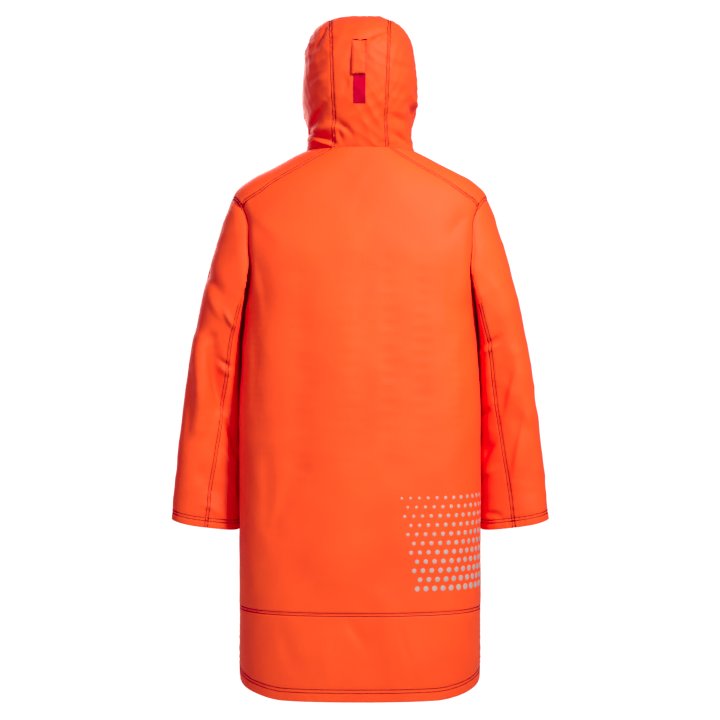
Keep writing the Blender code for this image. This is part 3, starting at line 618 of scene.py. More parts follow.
def border(quads):
    """The directed edges that belong to one quad only, with that quad's number."""
    edges = np.stack([quads, np.roll(quads, -1, axis=1)], -1).reshape(-1, 2)
    owner = np.repeat(np.arange(len(quads)), 4)
    size = int(quads.max()) + 1
    forward = edges[:, 0] * size + edges[:, 1]
    backward = edges[:, 1] * size + edges[:, 0]
    keep = ~np.isin(forward, backward)
    return edges[keep], owner[keep]


def outward(quads, points, normals):
    """The quads, turned so that their faces look along the normals."""
    a, b, c = points[quads[0, :3]]
    if np.cross(b - a, c - b) @ normals[quads[0, 0]] < 0:
        quads = quads[:, [0, 3, 2, 1]]
    return quads


def two_walls(quads, edges, count):
    """Faces of an outer wall, of the inner wall behind it and of the rim between them."""
    rim = np.stack([edges[:, 1], edges[:, 0], edges[:, 0] + count, edges[:, 1] + count], -1)
    return np.concatenate([quads, quads[:, [0, 3, 2, 1]] + count, rim]).tolist()


def ring_faces(rings, corners):
    """Quads between rings of points, ring after ring."""
    k = np.arange(corners)
    low = corners * np.arange(rings - 1)[:, None]
    after = (k + 1) % corners
    return np.stack([low + k, low + after, low + after + corners, low + k + corners],
                    -1).reshape(-1, 4)


def draw_in(points, quads, edges, owner, distance):
    """Moves the border points into the piece, square to the border."""
    centre = points[quads[owner]].mean(axis=1)
    a, b = points[edges[:, 0]], points[edges[:, 1]]
    run = b - a
    run /= np.maximum(np.linalg.norm(run, axis=1, keepdims=True), 1e-12)
    inward = centre - (a + b) / 2
    inward -= (inward * run).sum(axis=1, keepdims=True) * run
    inward /= np.maximum(np.linalg.norm(inward, axis=1, keepdims=True), 1e-12)
    total = np.zeros_like(points)
    np.add.at(total, edges[:, 0], inward)
    np.add.at(total, edges[:, 1], inward)
    size = (total ** 2).sum(axis=1)
    on = size > 1e-9
    total[on] *= 2 / size[on][:, None]
    return points + total * distance


def run_lengths(line):
    """Length along a line of points from its start to each of them."""
    return np.concatenate([[0.0], np.cumsum(np.linalg.norm(np.diff(line, axis=0), axis=1))])


def line_distance(points, line):
    """Distance to a line of points, and how far along it the nearest place is."""
    line = line[np.concatenate([[True], np.linalg.norm(np.diff(line, axis=0), axis=1) > 1e-7])]
    a, run = line[:-1], np.diff(line, axis=0)
    size = (run ** 2).sum(axis=1)
    start = np.concatenate([[0.0], np.cumsum(np.sqrt(size))])[:-1]
    distance, place = np.empty(len(points)), np.empty(len(points))
    for low in range(0, len(points), 4000):
        part = points[low:low + 4000]
        off = part[:, None] - a
        t = np.clip((off * run).sum(axis=2) / size, 0, 1)
        gap = ((off - t[..., None] * run) ** 2).sum(axis=2)
        pick = gap.argmin(axis=1)
        rows = np.arange(len(part))
        distance[low:low + 4000] = np.sqrt(gap[rows, pick])
        place[low:low + 4000] = start[pick] + t[rows, pick] * np.sqrt(size[pick])
    return distance, place


# ---- materials ----
def linear(text):
    """Linear colour from an sRGB hex value."""
    values = [int(text[i:i + 2], 16) / 255 for i in (1, 3, 5)]
    return [v / 12.92 if v <= 0.04045 else ((v + 0.055) / 1.055) ** 2.4 for v in values] + [1.0]


def add_node(tree, kind, links=(), inputs=(), **settings):
    """Adds a shader node with its settings, input values and incoming links."""
    made = tree.nodes.new(kind)
    for name, value in settings.items():
        setattr(made, name, value)
    for name, value in dict(inputs).items():
        made.inputs[name].default_value = value
    for name, source in dict(links).items():
        tree.links.new(source, made.inputs[name])
    return made


SOCKETS = {
    "base": "Base Color", "roughness": "Roughness", "specular": "Specular IOR Level",
    "sheen": "Sheen Weight", "sheen_roughness": "Sheen Roughness", "sheen_tint": "Sheen Tint",
    "coat": "Coat Weight", "coat_roughness": "Coat Roughness",
}


def new_material(name, **values):
    """A material with its Principled shader's own sockets set."""
    made = bpy.data.materials.new(name)
    made.use_nodes = True
    shader = made.node_tree.nodes["Principled BSDF"]
    for key, value in values.items():
        shader.inputs[SOCKETS[key]].default_value = value
    return made, made.node_tree, shader


def shade(tree, shader, source, colour, low=1.0, high=1.0, places=(0.0, 1.0)):
    """Colours the shader from one share of its colour to another, as a pattern goes 0 to 1."""
    ramp = add_node(tree, "ShaderNodeValToRGB", {"Fac": source})
    base = np.array(linear(colour)[:3])
    for stop, share, place in zip(ramp.color_ramp.elements, (low, high), places):
        stop.position = place
        stop.color = [*(base * share), 1.0]
    tree.links.new(ramp.outputs[0], shader.inputs["Base Color"])


def roughen(tree, shader, height, strength, distance, over=None, invert=False):
    """A relief from a pattern, over another relief where one is given."""
    links = {"Height": height} if over is None else {"Height": height, "Normal": over}
    bump = add_node(tree, "ShaderNodeBump", links, {"Strength": strength, "Distance": distance},
                    invert=invert)
    tree.links.new(bump.outputs[0], shader.inputs["Normal"])
    return bump.outputs[0]


def pattern(tree, kind, inputs, **settings):
    """A texture on Object coordinates."""
    place = add_node(tree, "ShaderNodeTexCoord")
    return add_node(tree, kind, {"Vector": place.outputs["Object"]}, inputs, **settings)


def woven_polyester(name, colour):
    """Plain-woven polyester shell: matt, with a faint satin sheen and slight shade changes."""
    made, tree, shader = new_material(
        name, roughness=0.62, specular=0.28, sheen=0.12, sheen_roughness=0.45,
        sheen_tint=linear("#FFB090"))
    uv = add_node(tree, "ShaderNodeUVMap", uv_map="cloth")
    warp, weft = (add_node(tree, "ShaderNodeTexWave", {"Vector": uv.outputs[0]},
                           {"Scale": 1 / (20 * THREAD_WIDTH), "Distortion": 0.4},
                           bands_direction=run) for run in "XY")
    weave = add_node(tree, "ShaderNodeMath", {0: warp.outputs[1], 1: weft.outputs[1]},
                     operation="MULTIPLY")
    crinkle = pattern(tree, "ShaderNodeTexNoise",
                      {"Scale": 55.0, "Detail": 3.0, "Roughness": 0.55})
    cloud = pattern(tree, "ShaderNodeTexNoise", {"Scale": 7.0, "Detail": 2.0})
    fine = roughen(tree, shader, weave.outputs[0], 0.25, 0.15 * MM)
    roughen(tree, shader, crinkle.outputs[0], 0.22, 1.6 * MM, over=fine)
    shade(tree, shader, cloud.outputs[0], colour, low=(0.95, 0.90, 0.90), places=(0.35, 0.65))
    return made


def spun_thread(name, colour):
    """Spun polyester thread: matt, with its twist as fine slanting bands."""
    made, tree, shader = new_material(name, roughness=0.75, specular=0.2)
    twist = pattern(tree, "ShaderNodeTexWave", {"Scale": 420.0, "Distortion": 1.0},
                    bands_direction="DIAGONAL")
    shade(tree, shader, twist.outputs[1], colour, low=0.6)
    return made


def loop_tape(name, colour):
    """Napped loop tape: a dense mat of small nylon loops, rough and slightly velvety."""
    made, tree, shader = new_material(name, roughness=0.85, specular=0.2, sheen=0.35,
                                      sheen_roughness=0.5, sheen_tint=linear("#FF6A80"))
    loops = pattern(tree, "ShaderNodeTexVoronoi", {"Scale": 620.0, "Randomness": 0.9})
    shade(tree, shader, loops.outputs[0], colour, high=0.45)
    roughen(tree, shader, loops.outputs[0], 0.8, 0.6 * MM, invert=True)
    return made


def reflective_film(name, colour):
    """Heat-pressed reflective film: silver grey, with fine glass-bead grain."""
    made, tree, shader = new_material(name, roughness=0.42, specular=0.5)
    beads = pattern(tree, "ShaderNodeTexNoise", {"Scale": 900.0, "Detail": 1.0})
    shade(tree, shader, beads.outputs[0], colour, low=0.85)
    roughen(tree, shader, beads.outputs[0], 0.2, 0.1 * MM)
    return made


def painted_zinc(name, colour):
    """Die-cast zinc with baked paint: smooth, with faint orange-peel."""
    made, tree, shader = new_material(name, roughness=0.38, specular=0.5, coat=0.3,
                                      coat_roughness=0.25)
    peel = pattern(tree, "ShaderNodeTexNoise", {"Scale": 1200.0, "Detail": 2.0})
    shade(tree, shader, peel.outputs[0], colour, low=0.8)
    roughen(tree, shader, peel.outputs[0], 0.15, 0.1 * MM)
    return made


def zip_webbing(name, colour):
    """Woven zip tape: fine ribs across the tape."""
    made, tree, shader = new_material(name, roughness=0.8, specular=0.2)
    ribs = pattern(tree, "ShaderNodeTexWave", {"Scale": 160.0, "Distortion": 0.6},
                   bands_direction="Z")
    shade(tree, shader, ribs.outputs[1], colour, low=0.6)
    roughen(tree, shader, ribs.outputs[1], 0.4, 0.3 * MM)
    return made


MAKERS = {
    "shell": (woven_polyester, "shell_colour"), "thread": (spun_thread, "thread_colour"),
    "loop": (loop_tape, "strip_colour"), "film": (reflective_film, "dot_colour"),
    "metal": (painted_zinc, "metal_colour"), "tape": (zip_webbing, "tape_colour"),
}


def material(kind):
    """The coat's own material of a kind, made on first use."""
    maker, setting = MAKERS[kind]
    name = maker.__name__
    return bpy.data.materials.get(name) or maker(name, getattr(settings(), setting))


def settings():
    return bpy.context.scene.coat


# ---- pieces ----
def add_piece(name, points, faces, kind, body="coat", uv=None, smooth=True):
    """A mesh object at the origin, riding on its body."""
    mesh = bpy.data.meshes.new(name)
    mesh.from_pydata(points, [], faces)
    mesh.update()
    if uv is not None:
        layer = mesh.uv_layers.new(name="cloth")
        loops = np.empty(len(mesh.loops), dtype=np.int32)
        mesh.loops.foreach_get("vertex_index", loops)
        layer.data.foreach_set("uv", uv[loops].astype(np.float32).ravel())
    if smooth:
        mesh.shade_smooth()
    mesh.materials.append(material(kind))
    made = bpy.data.objects.new(name, mesh)
    bpy.context.scene.collection.objects.link(made)
    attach(made, body)
    return made


STITCHES = {}       # group of seams -> list of (points, normals) of each row


def stitch_along(group, points, normals):
    """Keeps one row of stitches for the sewing operator, cut where the line jumps."""
    if len(points) < 3:
        return
    gap = np.linalg.norm(np.diff(points, axis=0), axis=1)
    cuts = np.flatnonzero(gap > 0.03) + 1
    for run, up in zip(np.split(points, cuts), np.split(normals, cuts)):
        if len(run) > 2:
            STITCHES.setdefault(group, []).append((run, up))


def contour(field, points, normals, off):
    """Where each grid line, starting at an edge, first passes a distance from it."""
    inside = (field[:, :-1] <= off) & (field[:, 1:] > off)
    rows = np.flatnonzero(inside.any(axis=1))
    j = inside[rows].argmax(axis=1)
    low, high = field[rows, j], field[rows, j + 1]
    t = ((off - low) / (high - low))[:, None]
    return (points[rows, j] * (1 - t) + points[rows, j + 1] * t,
            normals[rows, j] * (1 - t) + normals[rows, j + 1] * t)


VIEWS = {       # how a grid is turned so that its lines start at a side
    "left": lambda a: a, "right": lambda a: a[:, ::-1],
    "foot": lambda a: a.swapaxes(0, 1), "top": lambda a: a[::-1].swapaxes(0, 1),
}


def cloth(name, shape, uv, quads, grids, edges, group, scale, mirror=False, sewn=None):
    """A cloth piece: outer and inner wall with round edges, dents and puckers at its seams.

    grids names index grids of the points; edges lists (grid, sides, rows, pucker, valley):
    the rows are distances of stitches from the joined line of those sides, and the cloth
    sinks by the valley towards that line. sewn picks the points where stitches show.
    """
    points, normals = surface(shape, uv, mirror)
    quads = outward(quads, points, normals)
    rim_edges, owner = border(quads)
    points = draw_in(points, quads, rim_edges, owner, SEWN)
    lift, rounding = np.zeros(len(points)), np.zeros(len(points))
    rows_to_sew = []
    for grid, sides, rows, pucker, valley in edges:
        index = grids[grid]
        distance, place = np.full(len(points), 9.0), np.zeros(len(points))
        for side in sides:
            line = points[VIEWS[side](index)[:, 0]]
            near, along = line_distance(points, line)
            place = np.where(near < distance, along, place)
            distance = np.minimum(distance, near)
        close = np.clip(1 - distance / EDGE_ROUND, 0, 1)
        lift -= valley * np.exp(-(distance / VALLEY_WIDTH) ** 2) * ease(points[:, 1] / 0.03)
        if pucker:
            rounding = np.maximum(rounding, EDGE_ROUND * (1 - np.sqrt(1 - close ** 2)))
            short, middling, long = (place / size for size in PUCKER_WAVES)
            wave = np.sin(short + 2.1 * np.sin(middling) + len(name))
            wave = wave * (0.6 + 0.4 * np.sin(long + 1.3))
            last = max(rows, default=0.0)
            fade = np.where(distance > last, np.exp(-(distance - last) / PUCKER_REACH), 1.0)
            lift += pucker * settings().pucker * wave * fade
            for row in rows:
                lift -= GROOVE_DEPTH * np.exp(-((distance - row) / GROOVE_WIDTH) ** 2)
            rows_to_sew.append((index, sides, rows, distance))
    inner = points - normals * (WALL - rounding)[:, None]
    points = points + normals * (lift - rounding)[:, None]
    inner += normals * lift[:, None] * 0.6
    for index, sides, rows, distance in rows_to_sew:
        for row in rows:
            for side in sides:
                turned = VIEWS[side](index)
                line, up = contour(distance[turned], points[turned], normals[turned], row)
                show = np.ones(len(line), bool) if sewn is None else sewn(line)
                stitch_along(group, line[show], up[show])
    made = add_piece(name + "_cloth", np.concatenate([points, inner]),
                     two_walls(quads, rim_edges, len(points)), "shell",
                     uv=np.tile(uv * np.array(scale), (2, 1)))
    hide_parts(name)
    return made


TORSO_SCALE = (math.radians(1) * 0.20, 1.0)
SLEEVE_SCALE = (math.radians(1) * 0.07, 0.60)
HOOD_SCALE = (0.11, 0.50)


def armhole_turns(start, end, cell):
    """Turns round the armhole, evenly spaced along it."""
    count = max(4, int(round(abs(end - start) / 360 * 0.60 / cell)))
    return np.linspace(start, end, count + 1)


def shoulder_line(cell):
    """Angle and height along the back-set shoulder seam, from the armhole to the neck."""
    start = armhole(np.array([ARMHOLE_JOIN]))
    t = spread(RUN["shoulder"], cell)
    heights = start[1][0] + (NECK - start[1][0]) * t
    angles = curve(SHOULDER_SEAM, 1, heights)
    angles[0] = start[0][0]
    return np.stack([angles, heights], -1)


def run_share(angles, heights):
    """Share of the way along a line on the torso, at each of its points."""
    length = run_lengths(torso(angles, heights))
    return length / length[-1]


def side_heights(cell):
    top = ARMHOLE_MIDDLE - ARMHOLE_HALF_HEIGHT
    return BAND_SEAM + (top - BAND_SEAM) * spread(top - BAND_SEAM, cell, end=False)


def centre_front(height, x=FRONT_EDGE):
    """Angle on the torso of a line at a distance from the centre front."""
    return -90 + np.degrees(np.arctan(x / curve(TORSO, 1, height)))


def back_panel():
    """Rows from edge to edge up the side seam, the armhole and the shoulder seam."""
    cell, half = settings().cell, settings().needle_gap / 2
    side = side_heights(cell)
    hole = np.stack(armhole(armhole_turns(180.0, ARMHOLE_JOIN, cell)), -1)[1:]
    seam = shoulder_line(cell)[1:]
    angles = np.concatenate([np.zeros(len(side)), hole[:, 0], seam[:, 0]])
    heights = np.concatenate([side, hole[:, 1], seam[:, 1]])
    middle = BAND_SEAM + (NECK - BAND_SEAM) * run_share(angles, heights)
    s = spread(RUN["back"], cell)
    bow = 1 - (1 - 2 * s) ** 2
    u = angles[:, None] + (180 - 2 * angles[:, None]) * s
    v = heights[:, None] + (middle - heights)[:, None] * bow
    uv = np.stack([u, v], -1).reshape(-1, 2)
    index = np.arange(len(uv)).reshape(len(angles), len(s))
    low, mid = len(side), len(side) + len(hole)
    grids = {"all": index, "side": index[:low], "hole": index[low - 1:mid],
             "seam": index[mid - 1:]}
    edges = [("all", ("foot",), (half,), 1.0, 0.0), ("side", ("left",), (), 0.5, 0.0),
             ("side", ("right",), (), 0.5, 0.0),
             ("hole", ("left",), (), 0.5, BACK_VALLEY["left"]),
             ("hole", ("right",), (), 0.5, BACK_VALLEY["right"]),
             ("seam", ("left",), (half,), 0.8, 0.0), ("seam", ("right",), (half,), 0.8, 0.0),
             ("all", ("top",), (), 0.0, 0.0)]
    cloth("back_panel", torso, uv, patch(*index.shape), grids, edges, "stitching_back",
          TORSO_SCALE)


def front_panel(name, mirror, group):
    """A lower grid to the armhole's top and an upper one over the shoulder, welded."""
    cell, half = settings().cell * CELL_SHARE["front"], settings().needle_gap / 2
    side = side_heights(cell)
    hole = np.stack(armhole(armhole_turns(180.0, 360.0, cell)), -1)[1:]
    angles = np.concatenate([np.zeros(len(side)), hole[:, 0]])
    heights = np.concatenate([side, hole[:, 1]])
    middle = BAND_SEAM + (FRONT_YOKE - BAND_SEAM) * run_share(angles, heights)
    s = spread(RUN["front"], cell)
    bow = 1 - (1 - s) ** 2
    v = heights[:, None] + (middle - heights)[:, None] * bow
    u = angles[:, None] + (centre_front(middle) - angles)[:, None] * s
    lower = np.stack([u, v], -1)
    over = armhole_turns(ARMHOLE_JOIN, 0.0, cell)[:-1]
    foot = np.concatenate([np.stack(armhole(over), -1), lower[-1]])
    seam = shoulder_line(cell)
    columns = len(foot)
    ring = run_share(*foot.T)
    top = np.stack([SHOULDER_SEAM[-1, 1] + (centre_front(NECK) - SHOULDER_SEAM[-1, 1]) * ring,
                    np.full(columns, NECK)], -1)
    t = run_share(*seam.T)[:, None, None]
    upper = foot * (1 - t) + top * t
    upper += (seam - upper[:, 0])[:, None] * (1 - ring)[None, :, None]
    uv = np.concatenate([lower.reshape(-1, 2), upper.reshape(-1, 2)])
    count = lower.size // 2
    quads = np.concatenate([patch(len(angles), len(s)),
                            patch(len(seam), columns, count)])
    uv, quads, went = weld(uv, quads)
    low = went[:count].reshape(len(angles), len(s))
    high = went[count:].reshape(len(seam), columns)
    grids = {"foot": low, "side": low[:len(side)], "hole": low[len(side) - 1:],
             "over": high[:, :len(over) + 1], "seam": high, "zip": low, "zip_top": high}
    edges = [("foot", ("foot",), (half,), 1.0, 0.0), ("side", ("left",), (), 0.5, 0.0),
             ("hole", ("left",), (half,), 0.8, 0.0), ("over", ("foot",), (half,), 0.8, 0.0),
             ("seam", ("left",), (half,), 0.8, 0.0), ("seam", ("top",), (), 0.0, 0.0),
             ("zip", ("right",), ZIP_ROWS, 0.6, 0.0),
             ("zip_top", ("right",), ZIP_ROWS, 0.6, 0.0)]
    cloth(name, torso, uv, quads, grids, edges, group, TORSO_SCALE, mirror)


def hem_height(distance):
    """Height of the hem at a distance from the vent: it rises to a round corner."""
    far = np.clip(1 - distance / CORNER_LENGTH, 0, 1) ** CORNER_POWER
    near = np.clip(1 - distance / CORNER_RADIUS, 0, 1)
    return HEM + CORNER_RISE * far + CORNER_RADIUS * (1 - np.sqrt(1 - near ** 2))


def hem_band(name, start, end, vents, group, mirror=False):
    """A band below the band seam, with a round corner at each vent."""
    cell, half, row = settings().cell, settings().needle_gap / 2, settings().hem_row
    cut = CUT["hem_band_back" if vents == 2 else "hem_band_front"]
    share = spread(cut[0][0], cell)
    angles = start + (end - start) * share
    run = run_lengths(torso(angles, np.full(len(angles), HEM)))
    distance = np.minimum(run, run[-1] - run) if vents == 2 else run
    foot = hem_height(distance)
    t = spread(RUN["band"], cell)[:, None]
    heights = foot + (BAND_SEAM - foot) * t
    lean = np.exp(-distance / VENT_REACH) * (VENT_FOOT - VENT_TOP) * (1 - t)
    if vents == 2:
        lean = lean * np.where(share < 0.5, 1, -1)
        free = ("left", "foot", "right")
        rest = []
    else:
        lean = lean * np.sign(end - start)
        lean = lean + ease((share - 0.7) / 0.3) * (centre_front(heights) - end)
        free = ("left", "foot")
        rest = [("all", ("right",), ZIP_ROWS, 0.6, 0.0)]
    uv = np.stack([np.broadcast_to(angles, heights.shape) + lean, heights], -1)
    index = np.arange(heights.size).reshape(heights.shape)
    edges = [("all", free, (row, row - settings().needle_gap * 1.1), 1.0, 0.0),
             ("all", ("top",), (half,), 1.0, 0.0)] + rest
    cloth(name, torso, uv.reshape(-1, 2), patch(*index.shape), {"all": index}, edges, group,
          TORSO_SCALE, mirror)


def shown_on_sleeve(line):
    """Stitches show but where the back sinks in over the sleeve's head."""
    deep = (line[:, 1] > 0) & (line[:, 2] > SUNK_FOOT) & (line[:, 2] < SUNK_TOP)
    return ~(deep & (np.abs(line[:, 0]) < SUNK_HALF_WIDTH))


def sleeve_piece(name, under, mirror, group):
    """Rings of the sleeve tube between its two seams."""
    cell, half = settings().cell * CELL_SHARE["sleeve"], settings().needle_gap / 2
    row = settings().cuff_row
    along = spread(RUN["sleeve"], cell)[:, None]
    seam = curve(SLEEVE_SEAM, 1, along)
    if under:
        share = spread(0.20, cell)
        turn = seam + (360 - 2 * seam) * share
    else:
        share = spread(0.38, cell)
        turn = seam * (2 * share - 1)
    uv = np.stack([turn, np.broadcast_to(along, turn.shape)], -1)
    index = np.arange(turn.size).reshape(turn.shape)
    edges = [("all", ("foot",), (half,), 0.8, HEAD_VALLEY["right" if mirror else "left"]),
             ("all", ("left",), (half,), 1.0, 0.0), ("all", ("right",), (half,), 1.0, 0.0),
             ("all", ("top",), (row, row - settings().needle_gap), 0.9, 0.0)]
    cloth(name, sleeve, uv.reshape(-1, 2), patch(*index.shape), {"all": index}, edges, group,
          SLEEVE_SCALE, mirror, sewn=shown_on_sleeve)


def hood_center():
    """The strip from the neck over the crown to the face edge."""
    cell, half = settings().cell * CELL_SHARE["hood"], settings().needle_gap / 2
    along = spread(0.54, cell)[:, None]
    x = curve(HOOD, 8, along) * (2 * spread(0.115, cell) - 1)
    uv = np.stack([hood_turn(x, along), np.broadcast_to(along, x.shape)], -1)
    index = np.arange(x.size).reshape(x.shape)
    edges = [("all", ("foot",), (), 0.0, 0.0), ("all", ("left",), (half,), 1.0, 0.0),
             ("all", ("right",), (half,), 1.0, 0.0),
             ("all", ("top",), FACE_ROWS, 0.8, 0.0)]
    cloth("hood_center", hood, uv.reshape(-1, 2), patch(*index.shape), {"all": index}, edges,
          "stitching_hood", HOOD_SCALE)


def hood_side(name, mirror):
    """Ribs fanning from the strip's seam to the face edge."""
    cell, half = settings().cell * CELL_SHARE["hood"], settings().needle_gap / 2
    along = spread(0.54, cell)[:, None]
    start = hood_turn(curve(HOOD, 8, along), along)
    end = hood_turn(curve(HOOD, 5, along), along, front=True)
    turn = start + (end - start) * spread(0.27, cell)
    uv = np.stack([turn, np.broadcast_to(along, turn.shape)], -1)
    index = np.arange(turn.size).reshape(turn.shape)
    edges = [("all", ("foot",), (), 0.0, 0.0), ("all", ("left",), (half,), 1.0, 0.0),
             ("all", ("right", "top"), FACE_ROWS, 0.8, 0.0)]
    cloth(name, hood, uv.reshape(-1, 2), patch(*index.shape), {"all": index}, edges,
          "stitching_hood", HOOD_SCALE, mirror)


def hood_along(height):
    """Where the hood's centre line reaches a height, going up from the neck."""
    steps = np.linspace(0, 0.6, 400)
    return np.interp(height, curve(HOOD, 4, steps), steps)


def hood_patch(name, width, top, foot, lift, thickness, kind, crown=0.0, rows=()):
    """A small piece on the hood: its own points moved out by a lift, with round edges."""
    cell = 1.6 * MM
    heights = foot + (top - foot) * spread(top - foot, cell, 0.5 * MM)[:, None]
    across = spread(width, cell, 0.5 * MM)
    along = np.broadcast_to(hood_along(heights), (len(heights), len(across)))
    x = TAB_CENTRE + width * (across - 0.5) * np.ones_like(along)
    uv = np.stack([hood_turn(x, along), along], -1).reshape(-1, 2)
    index = np.arange(len(uv)).reshape(along.shape)
    points, normals = surface(hood, uv)
    quads = outward(patch(*index.shape), points, normals)
    edge = np.minimum.reduce([
        (across * width * np.ones_like(along)).ravel(),
        ((1 - across) * width * np.ones_like(along)).ravel(),
        ((heights - foot) * np.ones_like(along)).ravel(),
        ((top - heights) * np.ones_like(along)).ravel()])
    close = np.clip(1 - edge / (thickness / 2), 0, 1)
    rounding = thickness / 2 * (1 - np.sqrt(1 - close ** 2))
    raised = np.repeat(lift(heights.ravel()), len(across))
    dent = sum((0.3 * MM * np.exp(-((edge - row) / (0.7 * MM)) ** 2) for row in rows), 0.0)
    outer = points + normals * (raised + thickness - rounding - dent
                                + crown * (1 - close))[:, None]
    inner = points + normals * (raised + rounding)[:, None]
    faces = two_walls(quads, border(quads)[0], len(points))
    made = add_piece(name + "_piece", np.concatenate([outer, inner]), faces, kind,
                     uv=np.tile(uv * np.array(HOOD_SCALE), (2, 1)))
    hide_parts(name)
    field = edge.reshape(index.shape)
    for row in rows:
        for side in ("left", "right", "foot", "top"):
            turned = VIEWS[side](index)
            stitch_along("stitching_tab", *contour(VIEWS[side](field), outer[turned],
                                                   normals[turned], row))


def tab_lift(height):
    free = ease((TAB_TOP - TAB_SEWN - height) / 0.03)
    return TAB_SEWN_LIFT + (TAB_FREE_LIFT - TAB_SEWN_LIFT) * free


def strip_lift(height):
    return np.full(len(height), STRIP_LIFT)


# ---- sewing ----
def stitches(rows, pitch, radius, share=0.80):
    """Rows of stitches: each a four-sided thread whose ends dip into the cloth.

    A stitch's spine is centre + tangent * s + normal * (h sin(pi t) - d), with four
    rings of four points round it.
    """
    t = np.array([0.0, 0.25, 0.75, 1.0])
    girth = np.array([0.45, 1.0, 1.0, 0.45]) * radius
    turn = np.radians([45, 135, 225, 315])
    all_points, total = [], 0
    for line, up in rows:
        length = run_lengths(line)
        count = int(length[-1] / pitch)
        if count < 1:
            continue
        centre = (np.arange(count) + 0.5) * pitch
        ends = [np.stack([np.interp(centre + d, length, line[:, k]) for k in range(3)], -1)
                for d in (-pitch * share / 2, 0.0, pitch * share / 2)]
        normal = np.stack([np.interp(centre, length, up[:, k]) for k in range(3)], -1)
        run = ends[2] - ends[0]
        size = np.linalg.norm(run, axis=1, keepdims=True)
        run /= np.maximum(size, 1e-9)
        side = np.cross(normal, run)
        side /= np.linalg.norm(side, axis=1, keepdims=True)
        normal = np.cross(run, side)
        height = radius * (0.9 * np.sin(np.pi * t) - 0.35)
        spine = (ends[1][:, None] + run[:, None] * ((t - 0.5) * pitch * share)[None, :, None]
                 + normal[:, None] * height[None, :, None])
        ring = (side[:, None, None] * (np.cos(turn) * girth[:, None])[None, ..., None]
                + normal[:, None, None] * (np.sin(turn) * girth[:, None] * 0.8)[None, ..., None])
        all_points.append((spine[:, :, None] + ring).reshape(-1, 3))
        total += count
    one = np.concatenate([ring_faces(4, 4), [[3, 2, 1, 0], [12, 13, 14, 15]]])
    faces = (one[None] + 16 * np.arange(total)[:, None, None]).reshape(-1, 4)
    return np.concatenate(all_points), faces.tolist()


def bar_tack():
    """Two short dense bars of thread across the head of the tab."""
    heights = np.full(12, TAB_TOP - 1.2 * MM)
    along = hood_along(heights)
    for low, high in ((-0.50, -0.12), (0.08, 0.50)):
        x = TAB_CENTRE + TAB_WIDTH * np.linspace(low, high, 12)
        points, normals = surface(hood, np.stack([hood_turn(x, along), along], -1))
        out = TAB_SEWN_LIFT + TAB_WALL
        STITCHES.setdefault("bar_tacks", []).append((points + normals * out, normals))


# ---- print ----
def dot_field():
    """Reflective dots on the lower back, staggered, shrinking towards the upper left."""
    gap = settings().dot_gap
    i, j = np.meshgrid(np.arange(DOT_ROWS), np.arange(DOT_COLUMNS), indexing="ij")
    growth = i / (DOT_ROWS - 1) * 0.55 + j / (DOT_COLUMNS - 1) * 0.45
    radius = DOT_LEAST + DOT_GROWTH * growth
    height = DOT_TOP - i * gap
    angle = arc_angle(DOT_START + DOT_SLANT * i + (j + 0.5 * (i % 2)) * gap)
    keep = (angle < DOT_LIMITS[0]) & (height > DOT_LIMITS[1])
    return angle[keep], height[keep], radius[keep]


def arc_angle(arc):
    """Angle on the torso at an arc length past the centre back, towards the right side."""
    angles = np.linspace(90, 185, 400)
    return np.interp(arc, run_lengths(torso(angles, np.full(400, DOT_MIDDLE))), angles)


def dots():
    """Each dot is a thin disc of four rings laid on the cloth and raised by its film."""
    angle, height, radius = dot_field()
    turn = np.linspace(0, 2 * np.pi, DOT_CORNERS, endpoint=False)
    shares = np.array([1.0, 1.0, 0.93, 0.5])[:, None]
    lifts = np.array([-0.10, 0.22, 0.34, 0.34]) * MM
    eps = 1e-3
    step = torso(angle + eps, height) - torso(angle, height)
    degrees = radius * eps / np.linalg.norm(step, axis=1)
    u = angle[:, None, None] + degrees[:, None, None] * shares * np.cos(turn)
    v = height[:, None, None] + radius[:, None, None] * shares * np.sin(turn)
    points, normals = surface(torso, np.stack([u.ravel(), v.ravel()], -1))
    points += normals * np.tile(np.repeat(lifts, DOT_CORNERS), len(angle))[:, None]
    size = len(lifts) * DOT_CORNERS
    first = size * np.arange(len(angle))[:, None]
    rings = ring_faces(len(lifts), DOT_CORNERS)[:, ::-1] + first[..., None]
    rim = np.arange(DOT_CORNERS)
    faces = [*rings.reshape(-1, 4).tolist(), *(first + size - 1 - rim).tolist(),
             *(first + rim).tolist()]
    made = add_piece("reflective_dots", points, faces, "film")


# ---- zip ----
def zip_teeth():
    """Moulded teeth on both tapes, meshing in turn down the centre front."""
    heights = np.arange(TEETH_FOOT, TEETH_TOP, TOOTH_PITCH / 2)
    count = len(heights)
    side = np.where(np.arange(count) % 2 == 0, 1.0, -1.0)
    points, normals = surface(torso, np.stack([np.full(count, -90.0), heights], -1))
    up = np.gradient(points, axis=0)
    up /= np.linalg.norm(up, axis=1, keepdims=True)
    points = points - normals * TOOTH_DEPTH
    across = np.array((1.0, 0.0, 0.0))
    # corner by corner: reach over the centre line, depth, half height, in millimetres
    corners = [(x, depth * narrow, high * narrow) for x, narrow in ((-0.6, 0.7), (3.0, 1.0))
               for depth in (-1.3, 1.3) for high in (-0.55, 0.55)]
    block = np.stack([points + across * (side * x * MM)[:, None] + normals * depth * MM
                      + up * high * MM for x, depth, high in corners], axis=1)
    quads = np.array([[0, 1, 3, 2], [4, 6, 7, 5], [0, 4, 5, 1], [2, 3, 7, 6], [0, 2, 6, 4],
                      [1, 5, 7, 3]])
    turned = np.where(side[:, None, None] > 0, quads, quads[:, ::-1])
    faces = turned + 8 * np.arange(count)[:, None, None]
    made = add_piece("zip_teeth", block.reshape(-1, 3), faces.reshape(-1, 4).tolist(), "metal",
                     smooth=False)


